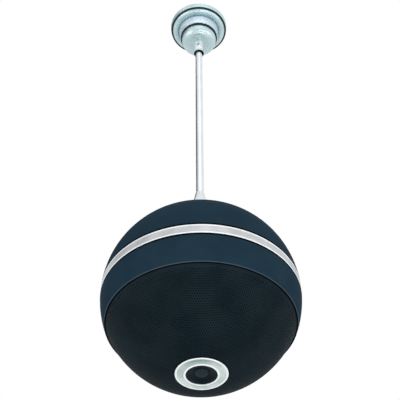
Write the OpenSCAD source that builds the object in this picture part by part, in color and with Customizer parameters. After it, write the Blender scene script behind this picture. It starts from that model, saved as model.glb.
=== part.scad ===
// Pendant ball loudspeaker: a closed ball with a grille facing down, hung on a rigid tube
// from a stepped ceiling rose. The origin is the centre of the ceiling contact plane, +Z up.
// Heights inside the ball are counted from its centre and moved down by ball_drop at the end.

/* [Ball] */
// Diameter of the ball
ball_d = 270; // [264:1:280]
// Drop from the ceiling to the centre of the ball
ball_drop = 650; // [520:1:800]
// Wall of the two moulded shells
shell_t = 3; // [2.6:0.1:3.6]
// Height of the metal band
band_h = 15; // [10:0.5:20]
// Height of the band's middle above the centre of the ball
band_rise = 3; // [0:0.5:6]
// Thickness of the metal band
band_t = 3; // [2.6:0.1:3.4]
// Bevel of the band's edges
band_edge_r = 0.4; // [0.2:0.1:0.6]
// Shadow gap between the band and each shell
band_gap = 1; // [0.5:0.1:2]
// Depth of the lower shell's lip below the centre of the ball
lip_depth = 46; // [44:0.5:50]
// Height of the free lip under the baffle
lip_h = 4; // [3:0.5:6]
// Thickness of the free lip
lip_t = 1.5; // [1.2:0.1:2]
// Diameter of the flat pad on top of the ball
pole_pad_d = 26; // [22:1:30]
// Thickness of the wall under the pad
pole_t = 9; // [6:0.5:12]

/* [Baffle] */
// Thickness of the baffle
baffle_t = 6; // [5:0.5:8]
// Thickness of the foam ring over the baffle
baffle_gasket_t = 1; // [0.6:0.1:2]
// Thickness of the lower shell's ledge
ledge_t = 4; // [3:0.5:5]
// Width of the ledge from the baffle's edge inwards
ledge_w = 11.5; // [11:0.5:14]
// Number of shell screws
shell_screw_n = 4; // [3:1:6]
// Diameter of a shell screw
shell_screw_d = 4; // [3:0.5:5]
// Length of a shell screw under its head
shell_screw_len = 28; // [20:1:40]
// Diameter of the posts that take the shell screws
post_d = 10; // [9:0.5:11]

/* [Grille] */
// Sheet thickness of the grille
grille_t = 1; // [0.8:0.1:1.2]
// How much larger the radius of the grille's dome is than the ball's
grille_bulge = 2.2; // [1:0.1:4]
// Gap between the grille and the lip
grille_gap = 0.6; // [0.3:0.1:1]
// Radius at which the dome turns into its flatter crown
crown_r = 60; // [55:1:68]
// Radius of the curve that leads into the crown
crown_bend_r = 79; // [60:1:100]
// Slope of the crown under the trim ring, in degrees
crown_slope = 6.7; // [4:0.1:10]
// Diameter of a hexagonal hole of the perforation, over its corners
hole_d = 7; // [4:0.5:8]
// Spacing of the holes
hole_pitch = 13.5; // [12:0.5:18]
// Width of the rim flange on which the magnets pull
rim_flange_w = 8; // [7:0.5:9]
// Diameter of a grille magnet
grille_magnet_d = 6; // [5:0.5:7]
// Thickness of a grille magnet
grille_magnet_t = 3; // [2:0.5:4]
// Number of grille magnets
grille_magnet_n = 4; // [3:1:8]

/* [Trim ring and tweeter] */
// Outer diameter of the trim ring
ring_d = 67.6; // [64:0.2:72]
// Inner diameter of the trim ring
ring_bore_d = 40.4; // [36:0.2:44]
// Thickness of the trim ring
ring_t = 0.8; // [0.7:0.1:1.2]
// Radius of the rounded lips of the trim ring
ring_bead_r = 0.8; // [0.6:0.1:1]
// Wall of the collar that reaches through the grille
ring_collar_t = 1.2; // [1:0.1:1.6]
// Height of that collar
ring_collar_h = 7; // [5:0.5:9]
// Diameter of the tweeter's dome
dome_d = 18; // [12:0.5:20]
// Height of the tweeter's dome
dome_h = 4; // [2:0.1:4.2]
// Depth of the dish round the dome
dish_depth = 4.4; // [3:0.1:6]
// Diameter of the tweeter's magnet
tweeter_magnet_d = 26; // [20:1:28]
// Thickness of the tweeter's magnet
tweeter_magnet_t = 7; // [5:0.5:10]

/* [Woofer] */
// Width of the baffle outside the woofer
woofer_margin = 41.5; // [39:0.5:44]
// Overlap of the woofer's flange on the baffle round its opening
flange_lap = 9.5; // [8.5:0.5:11]
// Thickness of the flange
flange_t = 2.4; // [2:0.1:3]
// Thickness of the gasket behind the flange
woofer_gasket_t = 0.8; // [0.5:0.1:1.5]
// Wall of the basket
basket_t = 1.6; // [1.2:0.1:2]
// Depth of the basket behind the baffle's front
basket_h = 50; // [46:1:54]
// Radius of the basket's back
basket_back_r = 44; // [42:1:47]
// Height of the basket's spider seat over the baffle's front
spider_seat_h = 34; // [32:1:38]
// Number of windows in the basket
window_n = 6; // [4:1:8]
// Width of one window
window_w = 34; // [20:1:36]
// Distance from the woofer's edge in to the edge of its cone
cone_inset = 21; // [20:0.5:23]
// Radius of the surround's half roll
roll_r = 4; // [3:0.1:4.2]
// Depth of the cone
cone_h = 28; // [24:0.5:31]
// Thickness of the cone
cone_t = 0.9; // [0.6:0.1:1.5]
// Diameter of the voice coil's former
coil_d = 26; // [24:0.5:28]
// Thickness of the former
former_t = 0.5; // [0.4:0.1:0.8]
// Thickness of the winding
winding_t = 0.7; // [0.5:0.1:0.9]
// Width of the air gap on each side of the coil
air_gap = 0.4; // [0.3:0.1:0.6]
// Diameter of the ferrite ring
magnet_d = 90; // [80:1:95]
// Bore of the ferrite ring
magnet_bore_d = 46; // [40:1:50]
// Thickness of the ferrite ring
magnet_t = 15; // [12:0.5:18]
// Thickness of the front and back plates
plate_t = 5; // [4:0.5:6]
// Radius of the dust cap
dust_cap_r = 24; // [20:0.5:28]
// Height of the dust cap
dust_cap_h = 8; // [6:0.5:10]
// Thickness of the surround
surround_t = 0.8; // [0.5:0.1:1]
// Depth of the step in the flange that takes the surround
flange_step = 1; // [0.8:0.1:1.4]
// Number of folds in the spider
spider_fold_n = 4; // [3:1:6]
// Height of a fold of the spider above and below its middle
spider_wave = 1.2; // [0.8:0.1:1.5]
// Thickness of the spider's cloth
spider_t = 0.6; // [0.4:0.1:0.8]
// Width of the tag strip on the basket
tag_strip_w = 18; // [14:1:22]
// Height of the tag strip
tag_strip_h = 10; // [8:0.5:12]
// Thickness of the tag strip
tag_strip_t = 1.6; // [1:0.1:2]
// Number of woofer screws
woofer_screw_n = 4; // [4:1:8]
// Diameter of a woofer screw
woofer_screw_d = 4; // [3.5:0.5:4.5]
// Length of a woofer screw
woofer_screw_len = 12; // [11:1:16]

/* [Line transformer and crossover] */
// Length of the transformer's core
core_l = 41; // [36:1:44]
// Height of the transformer's core
core_h = 34; // [28:1:38]
// Thickness of the core's stack
core_w = 14; // [12:1:16]
// Width of the winding over the core
winding_w = 24; // [22:1:26]
// Gap between the transformer and the ledge
transformer_edge = 9; // [2:0.5:11]
// Thickness of the transformer's clamp
clamp_t = 1; // [0.8:0.1:1.5]
// Length of one foot of the transformer clamp
clamp_foot = 7; // [5:0.5:9]
// Length of the crossover board
board_l = 44; // [40:1:48]
// Width of the crossover board
board_w = 24; // [22:1:26]
// Thickness of the crossover board
board_t = 1.6; // [1:0.1:2]
// Height of the bosses under the board
board_boss_h = 3; // [2:0.5:5]
// Gap between the crossover board and the ledge
board_edge = 7; // [2:0.5:10]
// Diameter of the crossover capacitor
capacitor_d = 10; // [8:0.5:11]
// Length of the crossover capacitor
capacitor_l = 24; // [18:1:28]
// Diameter of the crossover inductor
inductor_d = 18; // [14:1:20]
// Height of the crossover inductor
inductor_h = 9; // [6:0.5:12]
// Length of the terminal block
terminal_l = 13; // [11:0.5:15]
// Width of the terminal block
terminal_w = 9; // [8:0.5:11]
// Height of the terminal block
terminal_h = 8; // [7:0.5:10]

/* [Rod] */
// Outer diameter of the hanging tube
rod_d = 12; // [10:0.5:13]
// Wall of the hanging tube
rod_t = 1.5; // [1:0.1:2]
// Radial clearance of the tube in its bores
rod_clear = 0.15; // [0.1:0.05:0.3]
// Width across the flats of the nuts
nut_af = 19; // [18:0.5:21]
// Height of a full nut
nut_h = 6; // [5:0.5:8]
// Height of the thin lock nut
lock_nut_h = 3.5; // [3:0.1:4]
// Diameter of the washer inside the ball
washer_d = 30; // [26:1:36]
// Thickness of that washer
washer_t = 2; // [1.5:0.1:3]
// Thread left free beyond a nut
thread_end = 2; // [1:0.5:4]

/* [Ferrule] */
// Height of the trumpet fitting above the ball's pole
ferrule_h = 71; // [55:1:85]
// Radius of the trumpet at its foot
ferrule_foot_r = 31; // [26:0.5:36]
// Radius of the trumpet at its top
ferrule_top_r = 6.8; // [6.7:0.1:8]
// Wall of the trumpet
ferrule_t = 1.8; // [1.5:0.1:2.5]
// Thickness of the web on the ball's pad
ferrule_hub_h = 6; // [4:0.5:10]
// Height of the collar at its top
ferrule_collar_h = 10; // [6:0.5:14]
// How far its wall bows towards the tube
ferrule_bow = 2; // [1:0.1:3]

/* [Canopy] */
// Radius of the rose at the ceiling
rose_r = 50.7; // [48:0.1:56]
// Height of the rose's upper band
rose_band_h = 10; // [8:0.1:12]
// Radius at the foot of the upper band
rose_band_r = 49.6; // [48:0.1:50]
// Height of the groove under the upper band
rose_groove_h = 2; // [1:0.1:3]
// Depth of that groove
rose_groove_d = 5; // [4:0.1:5.4]
// Height of the moulding under the band
rose_step_h = 4.2; // [3.6:0.1:7]
// How far the moulding stands out of the groove
rose_step_out = 2; // [1:0.1:3]
// Height of the rolled edge on the ceiling
rose_edge_h = 1.6; // [1:0.1:2.4]
// Swell of that moulding
rose_swell = 2.2; // [1:0.1:3]
// Width of the crease between the moulding and the drum
rose_crease = 1.3; // [0.6:0.1:1.6]
// Depth of that crease
rose_crease_d = 2; // [1:0.1:2.5]
// Radius at the top of the rose's drum
drum_top_r = 35.6; // [35:0.1:38]
// Radius at the foot of the drum
drum_low_r = 33.7; // [33.2:0.1:35]
// Height of the drum
drum_h = 20.8; // [18:0.1:24]
// Sheet thickness of the rose
rose_t = 1.2; // [0.8:0.1:1.4]
// Depth of the recess between the drum and the cup
rose_recess = 4.6; // [3:0.1:6]
// Radius of the cup's skirt
cup_r = 30.6; // [29:0.1:31]
// Height of the cup's skirt below the drum
cup_skirt_h = 17; // [12:0.1:19]
// Radius of the cup's rounded edge
cup_round = 6; // [4:0.1:7]
// Rise of the cup's domed underside
cup_dome_h = 3; // [2:0.1:5]
// Sheet thickness of the cup
cup_t = 1.4; // [1:0.1:2]
// Thickness of the rubber ring on the cup
rose_gasket_t = 1; // [0.8:0.1:1.5]
// Width of that rubber ring
rose_gasket_w = 3.6; // [3:0.1:5]
// Radius of the clamp neck
neck_r = 7.5; // [7.3:0.1:8.5]
// Length of the clamp neck down to its mouth
neck_len = 19; // [16:0.5:25]
// Length of the flared mouth
mouth_len = 9; // [7:0.5:11]
// Radius of the flared mouth
mouth_r = 9; // [8.6:0.1:10]
// Depth of the pocket round the tube in the mouth
mouth_pocket = 6; // [4:0.5:7]
// Diameter of the set screw in the neck
clamp_screw_d = 4; // [3:0.5:4.5]
// Height of the set screw over the mouth's top
clamp_screw_rise = 10; // [7:0.5:12]
// Turn of the set screw towards -X, in degrees
clamp_screw_turn = 8; // [0:1:20]

/* [Ceiling bracket] */
// Thickness of the folded strap
strap_t = 2.5; // [2:0.1:3]
// Width of the strap
strap_w = 24; // [22:1:26]
// Height of the bracket from the ceiling to the bridge's top
bracket_h = 24; // [22:0.5:25]
// Half width of the bridge outside its legs
bracket_half = 21; // [18:0.5:24]
// Length of one foot outside its leg
foot_len = 20; // [17:0.5:22]
// Spacing of the two ceiling screws
screw_spacing = 64; // [58:1:68]
// Diameter of the ceiling screw holes
screw_hole_d = 5.2; // [4.5:0.1:6]

/* [Damping] */
// Thickness of the wadding
wadding_t = 14; // [8:1:20]
// Gap between the wadding's rim and the screw posts
wadding_clear = 11.3; // [4:0.1:20]
// Radius of the wadding's hole at the pole
wadding_hole_r = 24; // [20:1:30]

/* [Hidden] */
$fn = 96;
// Overrun of a cutting tool past the face that it cuts
over = 1;
// Free fit between two pieces that touch
fit = 0.15;
// Film of air between the ring's foot and the crown that it sits on
ring_seat = 0.05;

ball_r = ball_d / 2;
shell_in_r = ball_r - shell_t;
rod_r = rod_d / 2;
rod_bore_r = rod_r + rod_clear;

band_top = band_rise + band_h / 2;
band_low = band_rise - band_h / 2;
upper_rim_z = band_top + band_gap;
lower_rim_z = band_low - band_gap;
band_in_r = ball_r - band_t;
spigot_r = band_in_r - fit;
tongue_h = 7;
spigot_foot_z = lower_rim_z - 15;
tongue_r = sphere_r(shell_in_r, upper_rim_z + tongue_h) - 4 * fit;
spigot_t = 3;

front_z = lip_h - lip_depth;
baffle_top_z = front_z + baffle_t;
ledge_z = baffle_top_z + baffle_gasket_t;
ledge_top_z = ledge_z + ledge_t;
lip_out_r = sphere_r(ball_r, lip_depth);
lip_in_r = lip_out_r - lip_t;
baffle_r = min(lip_in_r, sphere_r(shell_in_r, front_z)) - 4 * fit;
ledge_in_r = baffle_r - ledge_w;
post_x = baffle_r - post_d / 2 - 1.2;
woofer_r = baffle_r - woofer_margin;
baffle_bore_r = woofer_r - flange_lap;
cone_r = woofer_r - cone_inset;
transformer_x = ledge_in_r - transformer_edge - winding_w / 2;
board_x = ledge_in_r - board_edge - board_w / 2;
wadding_rim_r = post_x - post_d / 2 - wadding_clear;
head_r = 0.9 * shell_screw_d;
head_h = 0.65 * shell_screw_d;
head_recess = head_h + 0.6;

grille_edge_r = lip_in_r - grille_gap;
grille_r = ball_r + grille_bulge;
grille_c = -lip_depth + sqrt(grille_r * grille_r - grille_edge_r * grille_edge_r);
crown_a = asin(crown_r / grille_r);
bend_x = crown_r - crown_bend_r * sin(crown_a);
bend_z = grille_c - grille_r * cos(crown_a) + crown_bend_r * cos(crown_a);
row_count = 5;
rim_a = asin(grille_edge_r / grille_r);
flat_a = 0.56 * hole_d / grille_r * 180 / PI;
row_step = (rim_a - crown_a) / (row_count + 0.4);
crown_out_x = bend_x + crown_bend_r * sin(crown_slope);
crown_out_z = bend_z - crown_bend_r * cos(crown_slope);
collar_out_r = ring_bore_d / 2 + ring_collar_t;
grille_bore_r = collar_out_r + fit;
pod_r = ring_bore_d / 2 - fit;
pod_top_z = crown_z(pod_r) + ring_collar_h + ring_t + 4;
pod_flange_r = grille_bore_r + 5;
ring_face_z = crown_z(ring_bore_d / 2) - ring_t;

flange_z = front_z - woofer_gasket_t;
woofer_z = flange_z - flange_t;
surround_out_r = cone_r + 2 * roll_r + 4;
vent_r = 4;
dome_r = dome_d / 2;
dish_z = ring_face_z + dish_depth;
tweeter_magnet_z = dish_z + 1.5;
board_z = baffle_top_z + board_boss_h;
magnet_x = grille_edge_r - rim_flange_w / 2;
basket_r = baffle_bore_r - 1;
spider_z = front_z + spider_seat_h;
basket_top_z = front_z + basket_h;
plate_z = basket_top_z;
magnet_z = plate_z + plate_t;
back_z = magnet_z + magnet_t;
coil_r = coil_d / 2;
winding_r = coil_r + winding_t;
gap_out_r = winding_r + air_gap;
pole_r = coil_r - former_t - air_gap;
cone_z = flange_z - 1;
cone_top_z = cone_z + cone_h;
screw_circle_r = (woofer_r + baffle_bore_r) / 2;

pole_pad_z = ball_r + 0.8;
pole_in_z = pole_pad_z - pole_t;
washer_z = pole_in_z - washer_t;
hanger_nut_z = washer_z - nut_h;
rod_low_z = hanger_nut_z - thread_end;

bridge_low_z = -bracket_h - strap_t;
rod_top_z = -bracket_h + nut_h + thread_end;
drum_top_z = -rose_band_h - rose_step_h;
drum_low_z = drum_top_z - drum_h;
web_z = drum_low_z + rose_recess;
cup_top_z = web_z - rose_gasket_t;
cup_low_z = drum_low_z - cup_skirt_h;
dome_low_z = cup_low_z - cup_dome_h;
neck_low_z = dome_low_z - neck_len;
mouth_low_z = neck_low_z - mouth_len;
clamp_screw_z = neck_low_z + clamp_screw_rise;

// Height or radius on a sphere of radius r, at distance h from its centre
function sphere_r(r, h) = sqrt(r * r - h * h);
// Height of the grille's outer face on its crown, at distance x from the axis
function crown_z(x) = crown_out_z - (crown_out_x - x) * tan(crown_slope);
// Points of an arc from p to q with the given rise to the left of the line, ends included
function arc(p, q, rise, n = 10) =
    let (d = q - p, l = norm(d), r = (l * l / 4 + rise * rise) / (2 * rise),
         left = [-d[1], d[0]] / l, c = (p + q) / 2 + left * (rise - r),
         a0 = atan2(p[1] - c[1], p[0] - c[0]),
         turn = -2 * asin(l / 2 / abs(r)) * sign(rise))
    [for (i = [0:n]) c + abs(r) * [cos(a0 + turn * i / n), sin(a0 + turn * i / n)]];
// A list of points in reverse order
function reversed(v) = [for (i = [len(v) - 1:-1:0]) v[i]];

// Moves a piece of the ball from the ball's centre to its place under the ceiling
module at_ball() { translate([0, 0, -ball_drop]) children(); }
// Repeats a piece n times round the axis, at distance x, starting at angle a0
module round_axis(n, x, a0 = 0) {
    for (i = [0:n - 1]) rotate([0, 0, a0 + i * 360 / n]) translate([x, 0, 0]) children();
}
// Ring between two radii from height z up
module ring(r_out, r_in, h, z = 0) {
    translate([0, 0, z])
        difference() {
            cylinder(r = r_out, h = h);
            translate([0, 0, -over]) cylinder(r = r_in, h = h + 2 * over);
        }
}
// Hexagonal nut on the tube
module nut(z, h) {
    translate([0, 0, z])
        difference() {
            cylinder(r = nut_af / 2 / cos(30), h = h, $fn = 6);
            translate([0, 0, -over]) cylinder(r = rod_r, h = h + 2 * over);
        }
}
// Screw with a low round head at its foot, shank upwards
module head_up_screw(d, l) {
    cylinder(d = d, h = l);
    translate([0, 0, -0.65 * d])
        difference() {
            cylinder(r = 0.9 * d, h = 0.65 * d);
            translate([0, 0, -over])
                cylinder(r = 0.35 * d, h = 0.35 * d + over, $fn = 6);
        }
}

// Hat-shaped strap: two feet on the ceiling, two legs and a bridge for the tube
module ceiling_bracket() {
    color("silver")
    difference() {
        translate([0, strap_w / 2, 0]) rotate([90, 0, 0])
            linear_extrude(height = strap_w)
                polygon([[-bracket_half - foot_len, 0], [-bracket_half - foot_len, -strap_t],
                    [-bracket_half, -strap_t], [-bracket_half, bridge_low_z],
                    [bracket_half, bridge_low_z], [bracket_half, -strap_t],
                    [bracket_half + foot_len, -strap_t], [bracket_half + foot_len, 0],
                    [bracket_half - strap_t, 0], [bracket_half - strap_t, -bracket_h],
                    [strap_t - bracket_half, -bracket_h], [strap_t - bracket_half, 0]]);
        for (s = [-1, 1])
            translate([s * screw_spacing / 2, 0, -strap_t - over])
                cylinder(d = screw_hole_d, h = strap_t + 2 * over);
        translate([0, 0, bridge_low_z - over])
            cylinder(r = rod_bore_r, h = strap_t + 2 * over);
    }
}
module bracket_nut() { color("silver") nut(-bracket_h, nut_h); }
module lock_nut() { color("silver") nut(bridge_low_z - lock_nut_h, lock_nut_h); }

// Pressed rose: upper band, swelling step, drum and an inner web over the cup
module ceiling_rose() {
    step_r = rose_band_r - rose_groove_d + rose_step_out;
    groove_r = rose_band_r - rose_groove_d;
    groove_z = -rose_band_h - rose_groove_h;
    crease_z = drum_top_z + rose_crease_d;
    low_in = drum_low_r - rose_t;
    color("lightsteelblue")
    rotate_extrude()
        polygon(concat(
            [[rose_r, 0], [rose_r, -rose_edge_h]],
            arc([rose_r - 0.5, -rose_edge_h - 0.8], [rose_band_r, -rose_band_h], 0.5, 5),
            [[groove_r, -rose_band_h], [groove_r, groove_z + 0.4], [step_r - 0.6, groove_z + 0.2]],
            arc([step_r, groove_z], [drum_top_r + rose_crease, drum_top_z + 0.4],
                rose_swell, 10),
            [[drum_top_r, crease_z], [drum_top_r - 0.6, crease_z - 0.3],
             [drum_top_r, drum_top_z - 0.2], [drum_low_r, drum_low_z + 0.5],
             [drum_low_r - 0.4, drum_low_z], [low_in + 0.3, drum_low_z],
             [low_in, drum_low_z + 0.3], [low_in, web_z], [rod_r + 8, web_z],
             [rod_r + 8, web_z + rose_t], [low_in, web_z + rose_t],
             [drum_top_r - rose_t - 0.6, crease_z + rose_t],
             [groove_r - rose_t, -rose_band_h + rose_t],
             [rose_band_r - rose_t, -rose_band_h + rose_t], [rose_r - rose_t, -2],
             [rose_r - rose_t, 0]]));
}
module rose_gasket() {
    color("black") ring(cup_r - 0.4, cup_r - 0.4 - rose_gasket_w, rose_gasket_t, cup_top_z);
}

// Spun cup: short skirt, domed underside and the clamp neck with its flared mouth
module canopy_cup() {
    in_r = cup_r - cup_t;
    neck_top = dome_low_z + 2;
    color("lightsteelblue")
    difference() {
        rotate_extrude()
            polygon(concat(
                [[cup_r, cup_top_z]],
                arc([cup_r, cup_low_z + cup_round], [cup_r - cup_round, cup_low_z],
                    0.29 * cup_round, 6),
                arc([cup_r - cup_round - 0.6, cup_low_z - 0.4], [neck_r + 2.5, dome_low_z],
                    1.6, 10),
                arc([neck_r + 2, dome_low_z - 0.3], [neck_r, dome_low_z - 3], -0.6, 4),
                [[neck_r, neck_low_z + 0.5], [neck_r - 0.5, neck_low_z],
                 [neck_r, neck_low_z - 0.5]],
                arc([neck_r, neck_low_z - 1], [mouth_r, mouth_low_z], -0.4, 5),
                [[mouth_r - 0.7, mouth_low_z], [mouth_r - 1.6, mouth_low_z + mouth_pocket - 1],
                 [rod_bore_r, mouth_low_z + mouth_pocket], [rod_bore_r, neck_top + 3],
                 [neck_r, neck_top + 3], [neck_r + 2, neck_top]],
                [[in_r - cup_round - 1, cup_low_z + 1.2], [in_r, cup_low_z + cup_round + 0.6],
                 [in_r, cup_top_z]]));
        clamp_hole();
    }
}
module along_clamp() {
    translate([0, 0, clamp_screw_z]) rotate([0, 0, -90 - clamp_screw_turn])
        rotate([0, 90, 0]) children();
}
module clamp_hole() {
    along_clamp() cylinder(d = clamp_screw_d, h = neck_r + over);
}
// Set screw, flush in the neck, with a hexagon socket
module clamp_screw() {
    color("dimgray")
    along_clamp() translate([0, 0, rod_r + 0.02])
        difference() {
            cylinder(d = clamp_screw_d, h = neck_r - rod_r + 0.1);
            translate([0, 0, 0.5]) cylinder(d = 0.6 * clamp_screw_d, h = 3, $fn = 6);
        }
}

// Tube from above the bracket's bridge down into the ball
module rod() {
    color("white")
    ring(rod_r, rod_r - rod_t, rod_top_z + ball_drop - rod_low_z, rod_low_z - ball_drop);
}

// Trumpet fitting: a thin flared wall, a collar on the tube and a web on the ball's pad
module ferrule() {
    foot_z = sphere_r(ball_r, ferrule_foot_r);
    top_z = pole_pad_z + ferrule_h;
    web_top = pole_pad_z + ferrule_hub_h;
    top = [ferrule_top_r, top_z - 0.5];
    foot = [ferrule_foot_r, foot_z + 1];
    in_foot = foot + (top - foot) * (web_top - foot[1]) / (top[1] - foot[1])
        - [ferrule_t + ferrule_bow, 0];
    collar_low = top_z - ferrule_collar_h;
    color("lightsteelblue")
    at_ball()
    difference() {
        rotate_extrude()
            polygon(concat(
                [[rod_bore_r, top_z], [ferrule_top_r - 0.5, top_z]],
                arc(top, foot, -ferrule_bow, 16),
                [[ferrule_foot_r, foot_z - over], [ferrule_foot_r - ferrule_t, foot_z - over],
                 [ferrule_foot_r - ferrule_t, pole_pad_z], [rod_bore_r, pole_pad_z],
                 [rod_bore_r, web_top], in_foot, [rod_bore_r + 0.4, collar_low],
                 [rod_bore_r, collar_low]]));
        sphere(r = ball_r + fit);
    }
}

// Everything of the lower and upper shell's wall between two heights
module shell_zone(low, high) {
    intersection() {
        difference() {
            sphere(r = ball_r);
            sphere(r = shell_in_r);
        }
        translate([0, 0, low]) cylinder(r = ball_r + over, h = high - low);
    }
}
// Upper shell with its pole boss and the posts for the shell screws
module upper_shell() {
    color("darkslategray")
    at_ball()
    difference() {
        union() {
            shell_zone(upper_rim_z, ball_r + over);
            translate([0, 0, pole_in_z]) cylinder(d = pole_pad_d, h = pole_t);
            translate([0, 0, pole_in_z])
                cylinder(r = washer_d / 2 + 1, h = ball_r - 2 - pole_in_z);
            intersection() {
                sphere(r = ball_r - shell_t / 2);
                round_axis(shell_screw_n, post_x, 45)
                    translate([0, 0, ledge_top_z]) cylinder(d = post_d, h = ball_r);
            }
        }
        translate([0, 0, pole_in_z - over]) cylinder(r = rod_bore_r, h = pole_t + 2 * over);
        round_axis(shell_screw_n, post_x, 45)
            translate([0, 0, ledge_top_z - over])
                cylinder(d = shell_screw_d, h = shell_screw_len);
    }
}
module hanger_washer() {
    color("silver") at_ball() ring(washer_d / 2, rod_bore_r, washer_t, washer_z);
}
module hanger_nut() { color("silver") at_ball() nut(hanger_nut_z, nut_h); }
// Damping lining under the top of the upper shell
module wadding() {
    lining_r = shell_in_r - 2 * fit;
    color("whitesmoke")
    at_ball()
    difference() {
        intersection() {
            sphere(r = lining_r);
            cylinder(r = wadding_rim_r, h = ball_r);
        }
        sphere(r = lining_r - wadding_t);
        cylinder(r = wadding_hole_r, h = ball_r);
    }
}
// Metal band, flush with the ball
module trim_band() {
    edge = band_edge_r;
    heights = [for (i = [0:10]) band_low + edge + (band_h - 2 * edge) * i / 10];
    color("gainsboro")
    at_ball()
    rotate_extrude()
        polygon(concat(
            [[band_in_r, band_top], [band_in_r, band_low],
             [sphere_r(ball_r, band_low) - edge, band_low]],
            [for (z = heights) [sphere_r(ball_r, z), z]],
            [[sphere_r(ball_r, band_top) - edge, band_top]]));
}
// Lower shell: spigot behind the band, ledge for the baffle and the free lip
module lower_shell() {
    spigot_in_r = spigot_r - spigot_t;
    color("darkslategray")
    at_ball()
    difference() {
        union() {
            shell_zone(-lip_depth, lower_rim_z);
            ring(spigot_r, spigot_in_r, upper_rim_z - spigot_foot_z, spigot_foot_z);
            ring(tongue_r, spigot_in_r, upper_rim_z + tongue_h, 0);
            intersection() {
                sphere(r = ball_r - shell_t / 2);
                ring(ball_r, ledge_in_r, ledge_t, ledge_z);
            }
        }
        translate([0, 0, -lip_depth - over]) cylinder(r = lip_in_r, h = lip_h + over);
        round_axis(shell_screw_n, post_x, 45)
            translate([0, 0, ledge_z - over])
                cylinder(d = shell_screw_d + 0.5, h = ledge_t + 2 * over);
    }
}
module baffle_gasket() {
    color("black")
    at_ball()
    difference() {
        ring(baffle_r, ledge_in_r, baffle_gasket_t, baffle_top_z);
        round_axis(shell_screw_n, post_x, 45)
            translate([0, 0, baffle_top_z - over])
                cylinder(d = shell_screw_d + 1, h = baffle_gasket_t + 2 * over);
    }
}
// Round plate that carries the woofer, the transformer and the crossover
module baffle() {
    color("black")
    at_ball()
    difference() {
        union() {
            ring(baffle_r, baffle_bore_r, baffle_t, front_z);
            for (sx = [-1, 1], sy = [-1, 1])
                translate([-board_x + sx * (board_w / 2 - 3), sy * (board_l / 2 - 3), baffle_top_z])
                    cylinder(r = 2.5, h = board_boss_h);
        }
        round_axis(shell_screw_n, post_x, 45) {
            translate([0, 0, front_z - over])
                cylinder(d = shell_screw_d + 0.5, h = baffle_t + 2 * over);
            translate([0, 0, front_z - over]) cylinder(r = head_r + 0.3, h = head_recess + over);
        }
        round_axis(grille_magnet_n, magnet_x)
            translate([0, 0, front_z - over])
                cylinder(d = grille_magnet_d, h = grille_magnet_t + over);
        round_axis(woofer_screw_n, screw_circle_r, 45)
            translate([0, 0, front_z - over])
                cylinder(d = woofer_screw_d, h = baffle_t + 2 * over);
    }
}
module shell_screws() {
    color("silver")
    at_ball()
    round_axis(shell_screw_n, post_x, 45)
        translate([0, 0, front_z + head_recess]) head_up_screw(shell_screw_d, shell_screw_len);
}
module grille_magnets() {
    color("silver")
    at_ball()
    round_axis(grille_magnet_n, magnet_x)
        translate([0, 0, front_z]) cylinder(d = grille_magnet_d, h = grille_magnet_t);
}

// Angles from the pole of the rows of holes, on the dome's round zone
function row_a(i) = crown_a + (i + 0.7) * row_step;
// Number of holes in a row
function row_n(i) = floor(2 * PI * grille_r * sin(row_a(i)) / hole_pitch);
// Profile of the grille's dome at thickness d inside its outer face, from the rim to the crown
function dome_line(d) = concat(
    [for (a = concat([rim_a], [for (i = [row_count - 1:-1:0], s = [1, -1]) row_a(i) + s * flat_a],
        [crown_a])) [0, grille_c] + (grille_r - d) * [sin(a), -cos(a)]],
    [for (i = [1:6]) let (a = crown_a + (crown_slope - crown_a) * i / 6)
        [bend_x, bend_z] + (crown_bend_r - d) * [sin(a), -cos(a)]],
    [[grille_bore_r, crown_z(grille_bore_r) + d / cos(crown_slope)]]);
// Domed steel grille with rows of hexagonal holes, a flatter crown and a turned-in rim
module grille() {
    flange_in_r = grille_edge_r - rim_flange_w;
    color("black")
    at_ball()
    difference() {
        rotate_extrude()
            polygon(concat(
                [[grille_edge_r - grille_t, front_z - grille_t], [flange_in_r, front_z - grille_t],
                 [flange_in_r, front_z], [grille_edge_r, front_z]],
                dome_line(0), reversed(dome_line(grille_t))));
        translate([0, 0, grille_c])
            for (i = [0:row_count - 1], k = [0:row_n(i) - 1])
                rotate([0, 180 - row_a(i), (k + 0.5 * (i % 2)) * 360 / row_n(i)])
                    translate([0, 0, grille_r - 2 * grille_t])
                        cylinder(d = hole_d, h = 4 * grille_t, $fn = 6);
    }
}
// Silver ring on the crown, with two rounded lips and a collar through the grille
module trim_ring() {
    bore_r = ring_bore_d / 2;
    out_r = ring_d / 2;
    color("gainsboro")
    at_ball()
    rotate_extrude()
        polygon(concat(
            [[bore_r, crown_z(bore_r) + ring_collar_h], [bore_r, ring_face_z]],
            arc([bore_r, ring_face_z], [bore_r + 2 * ring_bead_r, crown_z(bore_r + 2 * ring_bead_r)
                - ring_t], -ring_bead_r * 0.8, 6),
            arc([out_r - 2 * ring_bead_r, crown_z(out_r - 2 * ring_bead_r) - ring_t],
                [out_r, crown_z(out_r) - ring_t], -ring_bead_r * 0.8, 6),
            [[out_r, crown_z(out_r) - ring_seat], [collar_out_r, crown_z(collar_out_r) - ring_seat],
             [collar_out_r, crown_z(bore_r) + ring_collar_h]]));
}
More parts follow.
